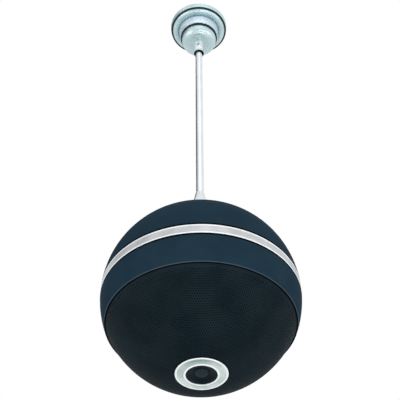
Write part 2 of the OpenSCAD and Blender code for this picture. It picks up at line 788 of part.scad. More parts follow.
// Black housing behind the grille, screwed on the ring's collar, with the dish of the tweeter
module tweeter_dish() {
    skirt_r = grille_bore_r;
    back = grille_t / cos(crown_slope);
    collar_top = crown_z(ring_bore_d / 2) + ring_collar_h + fit;
    color("black")
    at_ball()
    rotate_extrude()
        polygon([[dome_r + 0.6, dish_z], [pod_r, ring_face_z + ring_t], [pod_r, collar_top],
            [skirt_r, collar_top], [skirt_r, crown_z(skirt_r) + back],
            [pod_flange_r, crown_z(pod_flange_r) + back], [pod_flange_r, collar_top - 4],
            [skirt_r + 2, collar_top - 4], [skirt_r + 2, pod_top_z],
            [tweeter_magnet_d / 2, pod_top_z], [tweeter_magnet_d / 2, tweeter_magnet_z],
            [dome_r + 0.6, tweeter_magnet_z]]);
}
module tweeter_dome() {
    color("black")
    at_ball()
    rotate_extrude()
        polygon(concat(
            [[0, dish_z + 0.2]],
            [[dome_r - 0.5, dish_z + 0.2], [dome_r - 0.5, tweeter_magnet_z],
             [dome_r + 0.5, tweeter_magnet_z]],
            [for (i = [0:8]) [(dome_r + 0.5) * cos(90 * i / 8), dish_z - dome_h * sin(90 * i / 8)]]));
}
module tweeter_magnet() {
    color("dimgray")
    at_ball()
    translate([0, 0, tweeter_magnet_z]) cylinder(d = tweeter_magnet_d, h = tweeter_magnet_t);
}

// Pressed basket: flange, six-windowed cone wall, spider seat and back plate
module woofer_frame() {
    neck = basket_back_r - 3;
    color("dimgray")
    at_ball()
    difference() {
        rotate_extrude()
            polygon([[woofer_r, flange_z], [woofer_r, woofer_z + 0.6], [woofer_r - 0.6, woofer_z],
                [surround_out_r, woofer_z], [surround_out_r, flange_z - flange_step],
                [basket_r - basket_t, flange_z - flange_step], [basket_back_r + 2, spider_z],
                [neck, spider_z], [neck, basket_top_z - basket_t],
                [magnet_bore_d / 2, basket_top_z - basket_t], [magnet_bore_d / 2, basket_top_z],
                [neck + basket_t, basket_top_z], [neck + basket_t, spider_z + basket_t],
                [basket_back_r + 2 + basket_t, spider_z + basket_t], [basket_r, flange_z]]);
        for (i = [0:window_n - 1])
            rotate([0, 0, (i + 0.5) * 360 / window_n])
                translate([basket_back_r - 6, -window_w / 2, front_z + baffle_t + over])
                    cube([basket_r, window_w, spider_z - front_z - baffle_t - 5]);
        round_axis(woofer_screw_n, screw_circle_r, 45)
            translate([0, 0, woofer_z - over])
                cylinder(d = woofer_screw_d + 0.4, h = flange_t + 2 * over);
    }
}
module woofer_gasket() {
    color("black")
    at_ball()
    difference() {
        ring(woofer_r, baffle_bore_r, woofer_gasket_t, flange_z);
        round_axis(woofer_screw_n, screw_circle_r, 45)
            translate([0, 0, flange_z - over])
                cylinder(d = woofer_screw_d + 0.4, h = woofer_gasket_t + 2 * over);
    }
}
module woofer_screws() {
    color("silver")
    at_ball()
    round_axis(woofer_screw_n, screw_circle_r, 45)
        translate([0, 0, woofer_z]) head_up_screw(woofer_screw_d, woofer_screw_len);
}
// Rubber half roll between cone and frame
module woofer_surround() {
    roll_c = cone_r + 1 + roll_r;
    t = surround_t;
    lip_z = flange_z - flange_step;
    color("black")
    at_ball()
    rotate_extrude()
        polygon(concat(
            [[surround_out_r, lip_z], [surround_out_r, lip_z - t]],
            [for (i = [0:12]) [roll_c + roll_r * cos(15 * i), lip_z - t - roll_r * sin(15 * i)]],
            [[cone_r - 3, lip_z - t], [cone_r - 3, lip_z]],
            [for (i = [12:-1:0])
                [roll_c + (roll_r - t) * cos(15 * i), lip_z - (roll_r - t) * sin(15 * i)]]));
}
// Paper cone: a rim glued on the surround, then straight to the former
module woofer_cone() {
    color("dimgray")
    at_ball()
    rotate_extrude()
        polygon([[cone_r, cone_z], [cone_r - 3, cone_z],
            [coil_r + 0.1, cone_top_z], [coil_r + 0.1, cone_top_z + cone_t],
            [cone_r - 3, cone_z + cone_t], [cone_r, cone_z + cone_t]]);
}
// Front face of the cone at distance x from the axis
function cone_face(x) =
    cone_z + (cone_r - 3 - x) / (cone_r - 3 - coil_r - 0.1) * (cone_top_z - cone_z);
module dust_cap() {
    z = cone_face(dust_cap_r);
    t = 0.6;
    color("black")
    at_ball()
    rotate_extrude()
        polygon(concat(
            [[dust_cap_r, z]],
            [for (i = [0:10]) [dust_cap_r * cos(9 * i), z - t - dust_cap_h * sin(9 * i)]],
            [for (i = [10:-1:1])
                [(dust_cap_r - t) * cos(9 * i), z - dust_cap_h * sin(9 * i)]]));
}
// Corrugated spider between the former and the basket's seat
module spider() {
    r0 = coil_r + 0.1;
    r1 = basket_back_r - 2;
    steps = 6 * spider_fold_n;
    t = spider_t;
    mid_z = spider_z - 1 - spider_t;
    wave = [for (i = [0:steps]) [r0 + 2 + (r1 - r0 - 4) * i / steps,
        mid_z + spider_wave * sin(360 * spider_fold_n * i / steps)]];
    color("goldenrod")
    at_ball()
    rotate_extrude()
        polygon(concat(
            [[r0, mid_z]], wave,
            [[r1, spider_z - t], [basket_back_r + 1, spider_z - t], [basket_back_r + 1, spider_z],
             [r1 - 0.4, spider_z]],
            reversed([for (p = wave) p + [0, t]]), [[r0, mid_z + t]]));
}
module coil_former() {
    color("tan")
    at_ball()
    ring(coil_r, coil_r - former_t, plate_z + plate_t + 2 - cone_top_z, cone_top_z);
}
module voice_coil() {
    color("chocolate") at_ball() ring(winding_r, coil_r, plate_t + 2, plate_z - 1);
}
module front_plate() {
    color("silver") at_ball() ring(magnet_d / 2 - 3, gap_out_r, plate_t, plate_z);
}
module magnet() {
    color("dimgray") at_ball() ring(magnet_d / 2, magnet_bore_d / 2, magnet_t, magnet_z);
}
// Back plate in one piece with the pole
module back_plate() {
    color("silver")
    at_ball()
    rotate_extrude()
        polygon([[vent_r, plate_z], [pole_r, plate_z], [pole_r, back_z],
            [magnet_d / 2 - 3, back_z], [magnet_d / 2 - 3, back_z + plate_t - 0.8],
            [magnet_d / 2 - 3.8, back_z + plate_t], [vent_r, back_z + plate_t]]);
}
// Tag strip on the basket's neck with two solder tags
module woofer_terminal() {
    x = basket_back_r - 3 + basket_t;
    color("peru")
    at_ball()
    translate([-x - 0.6, 0, 0]) {
        translate([-tag_strip_t, -tag_strip_w / 2, spider_z + basket_t])
            cube([tag_strip_t, tag_strip_w, tag_strip_h]);
        for (s = [-1, 1])
            translate([-tag_strip_t - 5.4, s * tag_strip_w / 4 - 1.5,
                spider_z + basket_t + tag_strip_h / 2])
                cube([5.6, 3, 0.8]);
    }
}

// Stack of laminations with two windows round the middle limb
module transformer_core() {
    limb = core_l / 6;
    color("dimgray")
    at_ball()
    translate([transformer_x, 0, baffle_top_z])
        difference() {
            translate([-core_w / 2, -core_l / 2, 0]) cube([core_w, core_l, core_h]);
            for (s = [-1, 1])
                translate([-core_w, s * 1.5 * limb - limb / 2, limb])
                    cube([2 * core_w, limb, core_h - 2 * limb]);
        }
}
module transformer_coil() {
    limb = core_l / 6;
    gap = 0.2;
    color("saddlebrown")
    at_ball()
    translate([transformer_x, 0, baffle_top_z + limb + gap])
        difference() {
            translate([-winding_w / 2, -2 * limb + gap, 0])
                cube([winding_w, 4 * limb - 2 * gap, core_h - 2 * limb - 2 * gap]);
            translate([-core_w / 2 - gap, -limb - gap, -over])
                cube([core_w + 2 * gap, 2 * limb + 2 * gap, core_h]);
        }
}
// Sheet clamp over the core, with two feet on the baffle
module transformer_clamp() {
    half = core_l / 2 + 0.1;
    top = core_h + 0.1;
    foot = clamp_foot;
    color("silver")
    at_ball()
    translate([transformer_x - core_w / 2, 0, baffle_top_z])
        rotate([90, 0, 90]) linear_extrude(height = core_w)
            polygon([[half, 0], [half + foot, 0], [half + foot, clamp_t], [half + clamp_t, clamp_t],
                [half + clamp_t, top + clamp_t], [-half - clamp_t, top + clamp_t],
                [-half - clamp_t, clamp_t], [-half - foot, clamp_t], [-half - foot, 0],
                [-half, 0], [-half, top], [half, top]]);
}
module crossover_board() {
    color("darkgreen")
    at_ball()
    translate([-board_x - board_w / 2, -board_l / 2, board_z]) cube([board_w, board_l, board_t]);
}
module crossover_capacitor() {
    color("steelblue")
    at_ball()
    translate([-board_x - board_w / 2 + capacitor_d / 2 + 1, -board_l / 2 + 1,
        board_z + board_t + capacitor_d / 2])
        rotate([-90, 0, 0]) cylinder(d = capacitor_d, h = capacitor_l);
}
// Coil on a flanged bobbin
module crossover_inductor() {
    r = inductor_d / 2;
    color("chocolate")
    at_ball()
    translate([-board_x + board_w / 2 - r - 0.5, board_l / 2 - r - 0.5, board_z + board_t])
        rotate_extrude()
            polygon([[r / 3, 0], [r, 0], [r, 1], [r - 1, 1], [r - 1, inductor_h - 1],
                [r, inductor_h - 1], [r, inductor_h], [r / 3, inductor_h]]);
}
module terminal_block() {
    color("white")
    at_ball()
    translate([-board_x + board_w / 2 - terminal_w - 1, -board_l / 2 + 4, board_z + board_t])
        difference() {
            cube([terminal_w, terminal_l, terminal_h]);
            for (i = [0:1])
                translate([terminal_w / 2, terminal_l / 4 + terminal_l / 2 * i, 3]) {
                    cylinder(d = 3.2, h = terminal_h);
                    rotate([0, 90, 0]) cylinder(d = 2.4, h = terminal_w);
                }
        }
}

ceiling_bracket();
bracket_nut();
lock_nut();
ceiling_rose();
rose_gasket();
canopy_cup();
clamp_screw();
rod();
ferrule();
upper_shell();
hanger_washer();
hanger_nut();
wadding();
trim_band();
lower_shell();
baffle_gasket();
baffle();
shell_screws();
grille_magnets();
woofer_frame();
woofer_gasket();
woofer_screws();
woofer_surround();
woofer_cone();
dust_cap();
spider();
coil_former();
voice_coil();
front_plate();
magnet();
back_plate();
woofer_terminal();
grille();
trim_ring();
tweeter_dish();
tweeter_dome();
tweeter_magnet();
transformer_core();
transformer_coil();
transformer_clamp();
crossover_board();
crossover_capacitor();
crossover_inductor();
terminal_block();
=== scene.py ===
"""Looks of a pendant ball loudspeaker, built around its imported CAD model.

Lengths in the classes are in millimetres, as in the part's source, and are turned into
metres when a mesh is made. Heights inside the ball are counted from the ball's centre.
"""

import bisect
import logging
import math
from dataclasses import dataclass, field
from enum import Enum
from typing import ClassVar, Optional, Sequence

import bmesh
import bpy
from mathutils import Euler, Matrix, Vector


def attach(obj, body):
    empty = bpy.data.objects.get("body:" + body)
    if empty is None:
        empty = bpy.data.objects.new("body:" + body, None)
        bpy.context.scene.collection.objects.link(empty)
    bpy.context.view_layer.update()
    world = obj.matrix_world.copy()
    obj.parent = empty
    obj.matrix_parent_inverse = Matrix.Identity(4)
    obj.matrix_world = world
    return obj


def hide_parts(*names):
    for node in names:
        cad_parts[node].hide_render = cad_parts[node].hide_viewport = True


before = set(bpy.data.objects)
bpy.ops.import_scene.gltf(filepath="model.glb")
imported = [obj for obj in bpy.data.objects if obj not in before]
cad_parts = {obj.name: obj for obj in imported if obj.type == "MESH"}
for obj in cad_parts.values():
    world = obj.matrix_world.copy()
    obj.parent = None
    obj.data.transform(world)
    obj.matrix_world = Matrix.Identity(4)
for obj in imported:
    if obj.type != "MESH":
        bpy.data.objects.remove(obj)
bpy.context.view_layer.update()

MM = 0.001
MERGE_WITHIN = 1e-6
SHARP_ANGLE = math.radians(28)
SMOOTH_ANGLE = math.radians(32)
FINE_STEPS = 160
DUST_GREY = (120, 118, 112)
COAT_ROUGHNESS = 0.25
log = logging.getLogger("ball_speaker")

Point = tuple[float, float]
Colour = tuple[float, float, float]


class Form(Enum):
    """How the surface of a finish is worked."""

    GRAINED = "grained"
    TURNED = "turned"
    DRAWN = "drawn"
    LAYERED = "layered"
    WOVEN = "woven"
    WOUND = "wound"


def linear(srgb: Colour) -> tuple[float, float, float, float]:
    """Colour written as 0 to 255 display values, as linear RGBA.

    Args:
        srgb: red, green and blue from 0 to 255.

    Returns:
        The four linear numbers that a shader socket takes.
    """
    def channel(c: float) -> float:
        c /= 255
        return c / 12.92 if c <= 0.04045 else ((c + 0.055) / 1.055) ** 2.4

    return (*(channel(c) for c in srgb), 1.0)


class Wiring:
    """Small helper that adds and joins shader nodes in one tree."""

    def __init__(self, tree: bpy.types.NodeTree) -> None:
        """Keeps the tree that the nodes go into.

        Args:
            tree: the node tree of a material, world or group.
        """
        self.tree = tree

    def add(self, kind: str, settings: Optional[dict] = None, **inputs) -> bpy.types.Node:
        """Adds a node, with its settings and inputs.

        Args:
            kind: the node's type name, without its ShaderNode prefix.
            settings: attributes of the node, by name.
            inputs: values or output sockets for the inputs; a name ends in a number
                to pick an input by its place, as in i0.

        Returns:
            The new node.
        """
        node = self.tree.nodes.new("ShaderNode" + kind)
        for name, value in (settings or {}).items():
            setattr(node, name, value)
        for name, value in inputs.items():
            place = name[1:]
            socket = node.inputs[int(place) if name[0] == "i" and place.isdigit()
                                 else name.replace("_", " ")]
            if isinstance(value, bpy.types.NodeSocket):
                self.tree.links.new(value, socket)
            else:
                socket.default_value = value
        return node

    def maths(self, operation: str, *values) -> bpy.types.NodeSocket:
        """Adds a Math node.

        Args:
            operation: the node's operation.
            values: one to three numbers or sockets.

        Returns:
            The node's output.
        """
        inputs = {f"i{i}": v for i, v in enumerate(values)}
        return self.add("Math", {"operation": operation}, **inputs).outputs[0]

    def ramp(self, value, low: float, high: float) -> bpy.types.NodeSocket:
        """Stretches a value from low..high to 0..1, smoothly and held at the ends.

        Args:
            value: the socket to stretch.
            low: the value that becomes 0.
            high: the value that becomes 1.

        Returns:
            The stretched value.
        """
        node = self.add("MapRange", {"interpolation_type": "SMOOTHSTEP"},
                        Value=value, From_Min=low, From_Max=high)
        return node.outputs[0]

    def mixed(self, factor, first, second) -> bpy.types.NodeSocket:
        """Mixes two colours by a factor.

        Args:
            factor: the share of the second colour.
            first: colour or socket at 0.
            second: colour or socket at 1.

        Returns:
            The mixed colour.
        """
        node = self.add("Mix", {"data_type": "RGBA"}, i0=factor, i6=first, i7=second)
        return node.outputs[2]


class EffectGroup:
    """A shader node group with named inputs and two outputs, Height and Mask."""

    made: dict[str, bpy.types.ShaderNodeTree] = {}

    @classmethod
    def new(cls, name: str, values: dict[str, float]) -> tuple[Wiring, dict]:
        """Starts a group with a Vector input, plain number inputs, and the two outputs.

        Args:
            name: the group's name.
            values: the names and defaults of its number inputs.

        Returns:
            The group's wiring, and its input sockets by name.
        """
        tree = bpy.data.node_groups.new(name, "ShaderNodeTree")
        tree.interface.new_socket("Vector", in_out="INPUT", socket_type="NodeSocketVector")
        for label, default in values.items():
            socket = tree.interface.new_socket(label, in_out="INPUT",
                                               socket_type="NodeSocketFloat")
            socket.default_value = default
        for label in ("Height", "Mask"):
            tree.interface.new_socket(label, in_out="OUTPUT", socket_type="NodeSocketFloat")
        source = tree.nodes.new("NodeGroupInput")
        cls.made[name] = tree
        return Wiring(tree), {s.name: s for s in source.outputs if s.name}

    @staticmethod
    def end(w: Wiring, height, mask) -> None:
        """Joins the group's two outputs.

        Args:
            w: the group's wiring.
            height: the socket for the relief.
            mask: the socket for the tone.
        """
        out = w.tree.nodes.new("NodeGroupOutput")
        w.tree.links.new(height, out.inputs["Height"])
        w.tree.links.new(mask, out.inputs["Mask"])

    @classmethod
    def get(cls, form: Form) -> bpy.types.ShaderNodeTree:
        """The group that gives a form of surface, built the first time it is asked for.

        Args:
            form: how the surface is worked.

        Returns:
            The group's node tree.
        """
        if form.value not in cls.made:
            getattr(cls, "build_" + form.value)(form.value)
        return cls.made[form.value]

    @classmethod
    def build_grained(cls, name: str) -> None:
        """Fine leathery grain over slow patches, as on moulded plastic or paint."""
        w, src = cls.new(name, {"Scale": 1500.0})
        fine = w.add("TexVoronoi", {"feature": "SMOOTH_F1"}, Vector=src["Vector"],
                     Scale=src["Scale"], Smoothness=0.6).outputs["Distance"]
        broken = w.add("TexNoise", Vector=src["Vector"], Detail=4.0,
                       Scale=w.maths("MULTIPLY", src["Scale"], 0.4)).outputs[0]
        slow = w.add("TexNoise", Vector=src["Vector"], Scale=28.0, Detail=3.0).outputs[0]
        grain = w.maths("ADD", w.maths("MULTIPLY", fine, 0.55),
                        w.maths("MULTIPLY", broken, 0.45))
        tone = w.maths("ADD", w.maths("MULTIPLY", grain, 0.5),
                       w.maths("MULTIPLY", w.ramp(slow, 0.3, 0.7), 0.5))
        cls.end(w, grain, tone)

    @classmethod
    def build_turned(cls, name: str) -> None:
        """Concentric tool lines round the Z axis, each with its own tone."""
        w, src = cls.new(name, {"Scale": 2500.0})
        xyz = w.add("SeparateXYZ", i0=src["Vector"]).outputs
        radius = w.maths("SQRT", w.maths("ADD", w.maths("MULTIPLY", xyz[0], xyz[0]),
                                         w.maths("MULTIPLY", xyz[1], xyz[1])))
        across = w.add("CombineXYZ", i0=radius, i1=0.0, i2=xyz[2]).outputs[0]
        lines = w.add("TexNoise", Vector=across, Scale=src["Scale"], Detail=3.0,
                      Roughness=0.7).outputs[0]
        slow = w.add("TexNoise", Vector=src["Vector"], Scale=45.0, Detail=4.0).outputs[0]
        tone = w.maths("ADD", w.maths("MULTIPLY", w.ramp(lines, 0.3, 0.7), 0.6),
                       w.maths("MULTIPLY", w.ramp(slow, 0.3, 0.7), 0.4))
        cls.end(w, lines, tone)

    @classmethod
    def build_drawn(cls, name: str) -> None:
        """Long fine lines along Z, as on drawn tube, with slow cloudy patches."""
        w, src = cls.new(name, {"Scale": 2500.0})
        stretched = w.add("Mapping", Vector=src["Vector"]).outputs[0]
        stretched.node.inputs["Scale"].default_value = (1.0, 1.0, 0.02)
        lines = w.add("TexNoise", Vector=stretched, Scale=src["Scale"], Detail=3.0).outputs[0]
        slow = w.add("TexNoise", Vector=src["Vector"], Scale=30.0, Detail=3.0).outputs[0]
        tone = w.maths("ADD", w.maths("MULTIPLY", w.ramp(lines, 0.3, 0.7), 0.5),
                       w.maths("MULTIPLY", w.ramp(slow, 0.3, 0.7), 0.5))
        cls.end(w, lines, tone)

    @classmethod
    def build_layered(cls, name: str) -> None:
        """Thin sheets stacked along X, with dark lines between them."""
        w, src = cls.new(name, {"Scale": 300.0})
        wave = w.add("TexWave", {"wave_type": "BANDS", "bands_direction": "X"},
                     Vector=src["Vector"], Scale=src["Scale"], Distortion=0.4,
                     Detail=2.0).outputs["Fac"]
        slow = w.add("TexNoise", Vector=src["Vector"], Scale=200.0, Detail=3.0).outputs[0]
        cls.end(w, wave, w.maths("MULTIPLY", w.ramp(wave, 0.05, 0.5),
                                 w.ramp(slow, 0.1, 0.7)))

    @classmethod
    def build_woven(cls, name: str) -> None:
        """Plain weave: two crossed sets of threads with a little fuzz."""
        w, src = cls.new(name, {"Scale": 300.0})
        sets = [w.add("TexWave", {"wave_type": "BANDS", "bands_direction": axis},
                      Vector=src["Vector"], Scale=src["Scale"], Distortion=0.8,
                      Detail=1.0).outputs["Fac"] for axis in ("X", "Y")]
        fuzz = w.add("TexNoise", Vector=src["Vector"], Detail=4.0,
                     Scale=w.maths("MULTIPLY", src["Scale"], 4.0)).outputs[0]
        cloth = w.maths("ADD", w.maths("MAXIMUM", *sets), w.maths("MULTIPLY", fuzz, 0.4))
        cls.end(w, cloth, w.maths("MULTIPLY", cloth, 0.7))

    @classmethod
    def build_wound(cls, name: str) -> None:
        """Turns of wire stacked along Z, each round, with each crest painted lighter and each dip
        darker as painted highlight and shade.
        """
        w, src = cls.new(name, {"Scale": 600.0})
        wave = w.add("TexWave", {"wave_type": "BANDS", "bands_direction": "Z"},
                     Vector=src["Vector"], Scale=src["Scale"], Distortion=0.15,
                     Detail=1.0).outputs["Fac"]
        cls.end(w, wave, w.ramp(wave, 0.0, 0.8))


@dataclass(frozen=True)
class Finish:
    """One finish: its colours, its shine and how its surface is worked.

    The two colours are mixed by the form's mask, which also moves the roughness between
    its two values. Relief and depth are the strength and height of the bump.
    """

    made: ClassVar[dict[str, bpy.types.Material]] = {}
    name: str
    colour: Colour
    second: Colour
    form: Form = Form.GRAINED
    scale: float = 1500.0
    relief: float = 0.15
    depth: float = 0.0001
    metallic: float = 0.0
    rough: tuple[float, float] = (0.4, 0.55)
    specular: float = 0.5
    tint: Colour = (255, 255, 255)
    coat: float = 0.0
    sheen: float = 0.0
    dust: float = 0.0

    def material(self) -> bpy.types.Material:
        """The finish as a material, made once.

        Returns:
            The material, named after this finish.
        """
        if self.name in Finish.made:
            return Finish.made[self.name]
        mat = bpy.data.materials.new(self.name + "_finish")
        Finish.made[self.name] = mat
        mat.use_nodes = True
        w = Wiring(mat.node_tree)
        shader = mat.node_tree.nodes["Principled BSDF"]
        place = w.add("TexCoord").outputs["Object"]
        group = w.add("Group", {"node_tree": EffectGroup.get(self.form)},
                      Vector=place, Scale=self.scale).outputs
        colour = w.mixed(group["Mask"], linear(self.colour), linear(self.second))
        if self.dust:
            cloud = w.add("TexNoise", Vector=place, Scale=90.0, Detail=6.0,
                          Roughness=0.7).outputs[0]
            amount = w.maths("MULTIPLY", w.ramp(cloud, 0.52, 0.75), self.dust)
            colour = w.mixed(amount, colour, linear(DUST_GREY))
        shine = w.add("MapRange", Value=group["Mask"], To_Min=self.rough[0],
                      To_Max=self.rough[1]).outputs[0]
        bump = w.add("Bump", Height=group["Height"], Strength=self.relief,
                     Distance=self.depth).outputs[0]
        for name, value in (("Base Color", colour), ("Roughness", shine), ("Normal", bump)):
            w.tree.links.new(value, shader.inputs[name])
        shader.inputs["Metallic"].default_value = self.metallic
        shader.inputs["Specular IOR Level"].default_value = self.specular
        shader.inputs["Specular Tint"].default_value = linear(self.tint)
        shader.inputs["Coat Weight"].default_value = self.coat
        shader.inputs["Coat Roughness"].default_value = COAT_ROUGHNESS
        shader.inputs["Sheen Weight"].default_value = self.sheen
        return mat

    def dress(self, obj: bpy.types.Object) -> None:
        """Gives the whole object this finish.

        Args:
            obj: the object whose material slots are filled.
        """
        mat = self.material()
        if not obj.material_slots:
            obj.data.materials.append(mat)
        for place in obj.material_slots:
            place.material = mat


SATIN_SILVER = Finish("satin_silver", (172, 200, 204), (214, 231, 234), Form.TURNED, 1800.0,
                      0.08, metallic=0.7, rough=(0.32, 0.42))
# Paler, bluer copy of the satin silver: painted light on the drum's strip.
LIT_DRUM_SILVER = Finish("painted_light_drum_silver", (206, 224, 240), (236, 246, 255), Form.TURNED, 1800.0,
                     0.08, metallic=0.6, rough=(0.32, 0.42))
TUBE_SILVER = Finish("tube_silver", (214, 219, 224), (230, 234, 238), Form.DRAWN, 2600.0,
                     0.02, metallic=0.9, rough=(0.24, 0.28))
BAND_SILVER = Finish("band_silver", (164, 168, 171), (216, 219, 220), Form.TURNED, 2600.0,
                     0.14, metallic=0.75, rough=(0.40, 0.52))
RING_SILVER = Finish("ring_silver", (128, 160, 156), (240, 248, 245), Form.GRAINED, 900.0,
                     0.5, metallic=0.7, rough=(0.32, 0.44))
# Near-white, barely metallic silver: painted highlights on the band's edges and the ring's lips.
HIGHLIGHT_SILVER = Finish("painted_highlight_silver", (244, 247, 247), (252, 253, 253), Form.TURNED, 2200.0,
                    0.05, metallic=0.05, rough=(0.25, 0.32))
# Paler, less metallic silver for the polished neck; its brightness is partly painted highlight.
NECK_POLISH_AND_HIGHLIGHT = Finish("neck_polish_and_highlight", (230, 236, 240), (246, 249, 252), Form.TURNED, 2200.0,
                     0.05, metallic=0.35, rough=(0.25, 0.32))
DARK_STEEL = Finish("dark_steel", (8, 12, 14), (18, 22, 24), Form.GRAINED, 1500.0,
                    0.2, metallic=0.2, rough=(0.5, 0.6), specular=0.1)
SLATE_PLASTIC = Finish("slate_plastic", (29, 49, 62), (37, 57, 70), Form.GRAINED, 1700.0,
                       0.16, rough=(0.55, 0.65), specular=0.005, tint=(150, 200, 255),
                       dust=0.01)
# Paler slate: painted highlight along the lower shell's lip.
SLATE_HIGHLIGHT = Finish("painted_highlight_slate", (54, 66, 80), (70, 82, 96), Form.GRAINED, 1700.0,
                    0.16, rough=(0.5, 0.6), specular=0.1)
GRILLE_PAINT = Finish("grille_enamel", (15, 27, 32), (32, 43, 48), Form.GRAINED, 2600.0,
                      0.2, rough=(0.6, 0.72), specular=0.05, tint=(150, 205, 255))
GRILLE_CLOTH = Finish("grille_cloth", (1, 2, 3), (3, 5, 7), Form.WOVEN, 900.0,
                      0.5, rough=(0.95, 1.0), specular=0.02, tint=(150, 205, 255))
# Near-black rings: painted shade in the gaps beside the band, between lip and grille and round
# the ring; also the mouth bush, whose black is partly painted shade.
SHADE_BLACK = Finish("painted_shade_black", (1, 3, 5), (5, 8, 10), Form.GRAINED, 1400.0,
                     0.2, rough=(0.8, 0.9), specular=0.05)
# Dark grey-teal rings: painted shade in the rose's groove and in the gap above the cup.
SHADE_GREY = Finish("painted_shade_grey", (26, 42, 48), (46, 66, 72), Form.GRAINED, 1400.0,
                   0.2, rough=(0.7, 0.8), specular=0.1)
# Mid teal: painted shade on the groove's inner step.
SHADE_TEAL = Finish("painted_shade_teal", (58, 80, 86), (82, 104, 110), Form.GRAINED, 1400.0,
                   0.2, rough=(0.6, 0.7), specular=0.1)
BLACK_PLASTIC = Finish("black_plastic", (7, 14, 18), (32, 43, 48), Form.TURNED, 480.0,
                       0.15, rough=(0.45, 0.55), specular=0.06, tint=(150, 205, 255))
DOME_CLOTH = Finish("dome_cloth", (14, 24, 29), (46, 58, 64), Form.TURNED, 420.0,
                    0.1, rough=(0.45, 0.55), specular=0.06, tint=(150, 205, 255))
ZINC = Finish("bright_zinc", (176, 180, 182), (208, 208, 200), Form.GRAINED, 900.0,
              0.1, metallic=1.0, rough=(0.28, 0.42))
RUBBER = Finish("black_rubber", (16, 16, 17), (30, 30, 31), Form.GRAINED, 1400.0,
                0.3, rough=(0.62, 0.8), specular=0.35, dust=0.05)
BOARD = Finish("baffle_board", (20, 19, 18), (36, 33, 30), Form.GRAINED, 500.0,
               0.4, rough=(0.6, 0.8), specular=0.3, dust=0.06)
FLEECE = Finish("wadding_fleece", (206, 205, 198), (233, 231, 224), Form.GRAINED, 260.0,
                0.9, depth=0.002, rough=(0.9, 1.0), specular=0.1, sheen=0.5)
BASKET = Finish("basket_paint", (28, 30, 32), (44, 46, 48), Form.GRAINED, 1100.0,
                0.25, rough=(0.4, 0.55))
PAPER = Finish("cone_paper", (34, 33, 32), (58, 55, 52), Form.GRAINED, 420.0,
               0.6, depth=0.0003, rough=(0.75, 0.9), specular=0.2)
CLOTH = Finish("spider_cloth", (170, 120, 58), (206, 158, 90), Form.WOVEN, 420.0,
               0.6, rough=(0.75, 0.9), specular=0.2)
FORMER = Finish("former_paper", (150, 112, 66), (186, 146, 96), Form.TURNED, 1200.0,
                0.3, rough=(0.5, 0.7))
COPPER = Finish("copper_wire", (120, 52, 22), (206, 118, 66), Form.WOUND, 420.0,
                0.6, depth=0.0003, metallic=0.9, rough=(0.24, 0.4), coat=0.4)
FERRITE = Finish("ferrite", (40, 41, 43), (62, 62, 64), Form.GRAINED, 700.0,
                 0.4, rough=(0.55, 0.7))
CORE = Finish("laminations", (44, 42, 42), (104, 100, 98), Form.LAYERED, 320.0,
              0.5, metallic=0.6, rough=(0.4, 0.6))
CIRCUIT = Finish("board_green", (14, 62, 34), (26, 88, 48), Form.WOVEN, 500.0,
                 0.15, rough=(0.3, 0.42), coat=0.3)
FILM = Finish("capacitor_film", (150, 58, 30), (176, 80, 44), Form.GRAINED, 300.0,
              0.1, rough=(0.2, 0.32), coat=0.5)
NYLON = Finish("terminal_white", (214, 212, 204), (232, 230, 224), Form.GRAINED, 900.0,
               0.1, rough=(0.4, 0.5))
TAG_BOARD = Finish("tag_board", (120, 84, 46), (152, 110, 64), Form.LAYERED, 500.0,
                   0.2, rough=(0.5, 0.65))


def arc(p: Point, q: Point, rise: float, n: int = 12) -> list[Point]:
    """Points of an arc from p to q, ends included.

    Args:
        p: first point, (radius, height).
        q: last point.
        rise: how far the arc's middle lies to the left of the line from p to q.
        n: number of steps.

    Returns:
        The n + 1 points.
    """
    a, b = Vector(p), Vector(q)
    d = b - a
    r = (d.length_squared / 4 + rise * rise) / (2 * rise)
    left = Vector((-d.y, d.x)).normalized()
    c = (a + b) / 2 + left * (rise - r)
    start = math.atan2(a.y - c.y, a.x - c.x)
    turn = -2 * math.asin(min(1.0, d.length / 2 / abs(r))) * math.copysign(1, rise)
    return [(c.x + abs(r) * math.cos(start + turn * i / n),
             c.y + abs(r) * math.sin(start + turn * i / n)) for i in range(n + 1)]


def sphere_line(r: float, low: float, high: float, centre: float = 0.0,
                n: int = 40) -> list[Point]:
    """Points of a sphere's outline between two heights, from low to high.

    Args:
        r: the sphere's radius.
        low: lowest height, from the ball's centre.
        high: highest height.
        centre: height of the sphere's own centre.
        n: number of steps.

    Returns:
        The n + 1 points.
    """
    a, b = math.asin((low - centre) / r), math.asin((high - centre) / r)
    return [(r * math.cos(a + (b - a) * i / n), centre + r * math.sin(a + (b - a) * i / n))
            for i in range(n + 1)]


